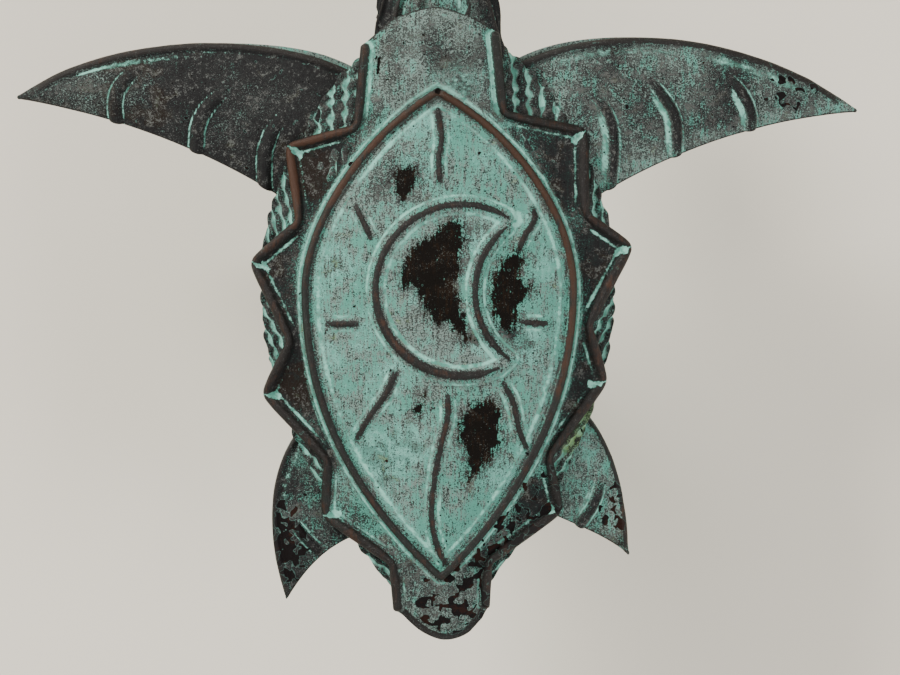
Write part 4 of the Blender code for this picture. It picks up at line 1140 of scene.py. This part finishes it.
def neck():
    around, length = 420, 120
    angle = np.arange(around) / around * 2 * math.pi
    s = np.linspace(0, 1, length)
    a, t = np.meshgrid(angle, s, indexing="ij")
    half_wide = NECK_HALF_WIDE + (NECK_HALF_WIDE_END - NECK_HALF_WIDE) * t * t
    half_tall = NECK_HALF_TALL + (NECK_HALF_TALL_END - NECK_HALF_TALL) * t
    y = NECK_START - NECK_LENGTH * t
    base = np.stack([half_wide * np.cos(a), y, NECK_MIDDLE_Z + half_tall * np.sin(a)], axis=2)
    normals = np.stack([np.cos(a) / 44, np.zeros(a.shape), np.sin(a) / 15], axis=2)
    normals /= np.linalg.norm(normals, axis=2, keepdims=True)
    fan = (a - math.pi / 2 + 0.1 * lumps(y, a * 20, 14, 71)) / (1 - 0.55 * t)
    fold = np.sin(fan * 9.5) * 0.6 + np.sin(fan * 17.0 + 1.3) * 0.4
    relief = 1.7 * fold + 0.4 * lumps(y, a * 25, 7, 72)
    knob = np.hypot(base[..., 0] + 39, (y + 179) * 0.8)
    relief += 4.0 * smoothstep(10, 2, knob) * (np.sin(a) > -0.2)
    crest = smoothstep(0.15, 0.8, fold) * 0.66
    mint = smoothstep(-0.35, -0.95, fold) * (0.62 + 0.30 * lumps(y, a * 20, 9, 74))
    dark = 0.42 + 0.45 * smoothstep(0.50, 0.95, np.abs(np.cos(a))) + 0.1 * lumps(y, a * 20, 18, 73)
    back = ([*range(0, 101, 20), length - 1], 2.6, 2.6)
    masks = dict(crest=crest, mint=mint, dark=dark, brown=0.1, grey=0.6)
    emboss(
        "neck_sleeve_folded", "neck_sleeve", ("patina_neck", 13.1),
        base, normals, relief, back, masks, 0.5,
    )


def mouth_height(y):
    return 1.0 - 6.0 * smoothstep(20, 66, -y) ** 2


def head_plates(x, y):
    """How near each point is to a groove between two of the head's plates."""
    centres = np.array(HEAD_PLATES, float)
    d = np.sort(np.hypot(x[..., None] - centres[:, 0], y[..., None] - centres[:, 1]), axis=-1)
    return d[..., 1] - d[..., 0]


def head(upper):
    count = 420
    angles = full_turn(count)
    rim = np.interp(angles, TURNS, HEAD_R)
    steps = spread((0.85, 70), (1.0, 34))
    x, y = polar_grid(angles, np.zeros(count), rim, steps)
    share = np.minimum(1.0, np.hypot(x, y) / np.maximum(radius_at(HEAD_R, x, y), 1e-6))
    full = (1 - share**4) ** 0.7
    side = 1 if upper else -1
    z = mouth_height(y) + side * ((CROWN_HEIGHT if upper else JAW_DEPTH) * full + HALF_GAP)
    base = np.stack([x, y, z], axis=2)
    normals = normals_of(base, True) * side
    relief = 0.3 * lumps(x, y, 16, 81)
    lip = smoothstep(0.93, 0.99, share)
    relief += (0.9 if upper else 1.2) * lip
    crest = 0.7 * lip
    mint = 0.55 * line(share, 0.925, 0.02)
    if upper:
        groove = line(head_plates(x, y), 0, 1.5) * smoothstep(0.93, 0.82, share)
        relief -= 1.1 * groove
        mint = combine(mint, 0.85 * groove)
        for sign in (-1, 1):
            brow = np.hypot((x - sign * 31) * 0.9, (y + 21) * 0.8)
            relief += 3.4 * line(brow, 9.5, 3.0) * smoothstep(-1.0, 0.2, -(np.abs(x) - 41) / 10)
            eye = np.sqrt((x - sign * 36) ** 2 + (y + 22) ** 2 + (z - 9) ** 2)
            relief -= 2.0 * smoothstep(10.5, 6.5, eye)
            crest = combine(crest, 0.6 * line(brow, 9.5, 2.0))
            nostril = np.hypot(x - sign * 4.5, y + 58)
            relief -= 1.6 * smoothstep(1.9, 0.6, nostril)
            crest = combine(crest, smoothstep(2.2, 1.0, nostril))
    else:
        throat = line(np.abs(np.abs(x) - 14), 0, 2.5) * smoothstep(0.9, 0.7, share)
        relief -= 0.9 * throat
        mint = combine(mint, 0.6 * throat)
    back = ([0, 20, 40, 56, 70, 84, 94, len(steps) - 1], 1.4, 3.2)
    masks = dict(crest=crest, mint=mint, dark=0.38, brown=0.2)
    name, finish = ("head_crown", "_plated") if upper else ("head_jaw", "_beak")
    emboss(
        name + finish, name, ("patina_" + name, 17.3 + side),
        base, normals, relief, back, masks, 0.5, pole=True, offset=(0, HEAD_Y, 0),
    )


# --- Metal parts kept from the CAD

def finish_cad_nodes():
    """The pivot and the inside frame keep their CAD shapes and get turned or drawn metal."""
    brass = turned_metal("aged_brass", (0.47, 0.31, 0.11), 0.34, (0.13, 0.10, 0.05), (40, 40, 2600))
    bronze = turned_metal("sintered_bronze", (0.36, 0.20, 0.09), 0.42, (0.12, 0.07, 0.04), (40, 40, 2200))
    steel = turned_metal("turned_steel", (0.27, 0.27, 0.275), 0.32, (0.085, 0.078, 0.072), (30, 30, 3000))
    eye = turned_metal("dulled_brass", (0.30, 0.19, 0.07), 0.30, (0.05, 0.04, 0.03), (300, 300, 300))
    tube = patina("patina_tube", 19.9, masked=False)
    flange = patina("patina_flange", 23.3, masked=False)
    looks = {
        "spindle_rod": steel, "thrust_ball": steel, "upper_bush": bronze, "lower_bush": bronze,
        "tube_cap": brass, "crown_saddle": brass, "spine_bar": brass, "flipper_spar": brass,
        "retaining_screw": brass, "eye_left": eye, "eye_right": eye, "mounting_tube": tube,
        "belly_flange": flange,
    }
    for name, material in looks.items():
        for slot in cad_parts[name].material_slots:
            slot.material = material


# --- Floor, light and camera

def stage():
    p = Painter("pale_floor")
    shade = p.noise(3.0, 3.0, 0.5)
    p.put(p.mix(shade, *FLOOR_COLOURS), p.shader.inputs["Base Color"])
    p.shader.inputs["Roughness"].default_value = 0.85
    bpy.ops.mesh.primitive_plane_add(size=FLOOR_SIZE, location=(0, 0, -FLOOR_DROP))
    floor = bpy.context.active_object
    floor.name = "floor"
    floor.data.materials.append(p.material)

    world = bpy.data.worlds.new("studio")
    bpy.context.scene.world = world
    world.use_nodes = True
    background = world.node_tree.nodes["Background"]
    background.inputs["Color"].default_value = SKY_COLOUR
    background.inputs["Strength"].default_value = SKY_STRENGTH


def area_light(name, place, aim, size, power, colour):
    light = bpy.data.lights.new(name, "AREA")
    light.shape = "DISK"
    light.size = size
    light.energy = power
    light.color = colour
    obj = bpy.data.objects.new(name, light)
    obj.location = place
    obj.rotation_euler = (Vector(aim) - Vector(place)).to_track_quat("-Z", "Y").to_euler()
    obj.visible_camera = False
    bpy.context.scene.collection.objects.link(obj)


def lights():
    aim = (0, 0, SEAM_Z * MM)
    area_light("key", (1.9, -2.0, 1.75), aim, 1.0, 140, (1.0, 0.98, 0.95))
    area_light("fill", (-2.2, 0.9, 1.9), aim, 1.6, 56, (0.97, 0.98, 1.0))
    area_light("back", (1.6, 2.2, 1.6), aim, 1.4, 22, (1.0, 1.0, 1.0))


def camera():
    """Square on to the shell from above, with the head towards the top of the picture."""
    data = bpy.data.cameras.new("camera")
    data.sensor_width = 36.0
    data.lens = data.sensor_width * CAMERA_FAR / CAMERA_WIDTH
    data.clip_end = 200.0
    obj = bpy.data.objects.new("camera", data)
    obj.location = (*CAMERA_CENTRE, (SEAM_Z + 15) * MM + CAMERA_FAR)
    obj.rotation_euler = (0, 0, math.pi)
    bpy.context.scene.collection.objects.link(obj)
    bpy.context.scene.camera = obj


medallion()
collar()
skirt()
plastron()
for flipper_name, flipper_shape in FLIPPERS.items():
    flipper(flipper_name, flipper_shape, True)
    flipper(flipper_name, flipper_shape, False)
neck()
head(True)
head(False)
finish_cad_nodes()
stage()
lights()
camera()
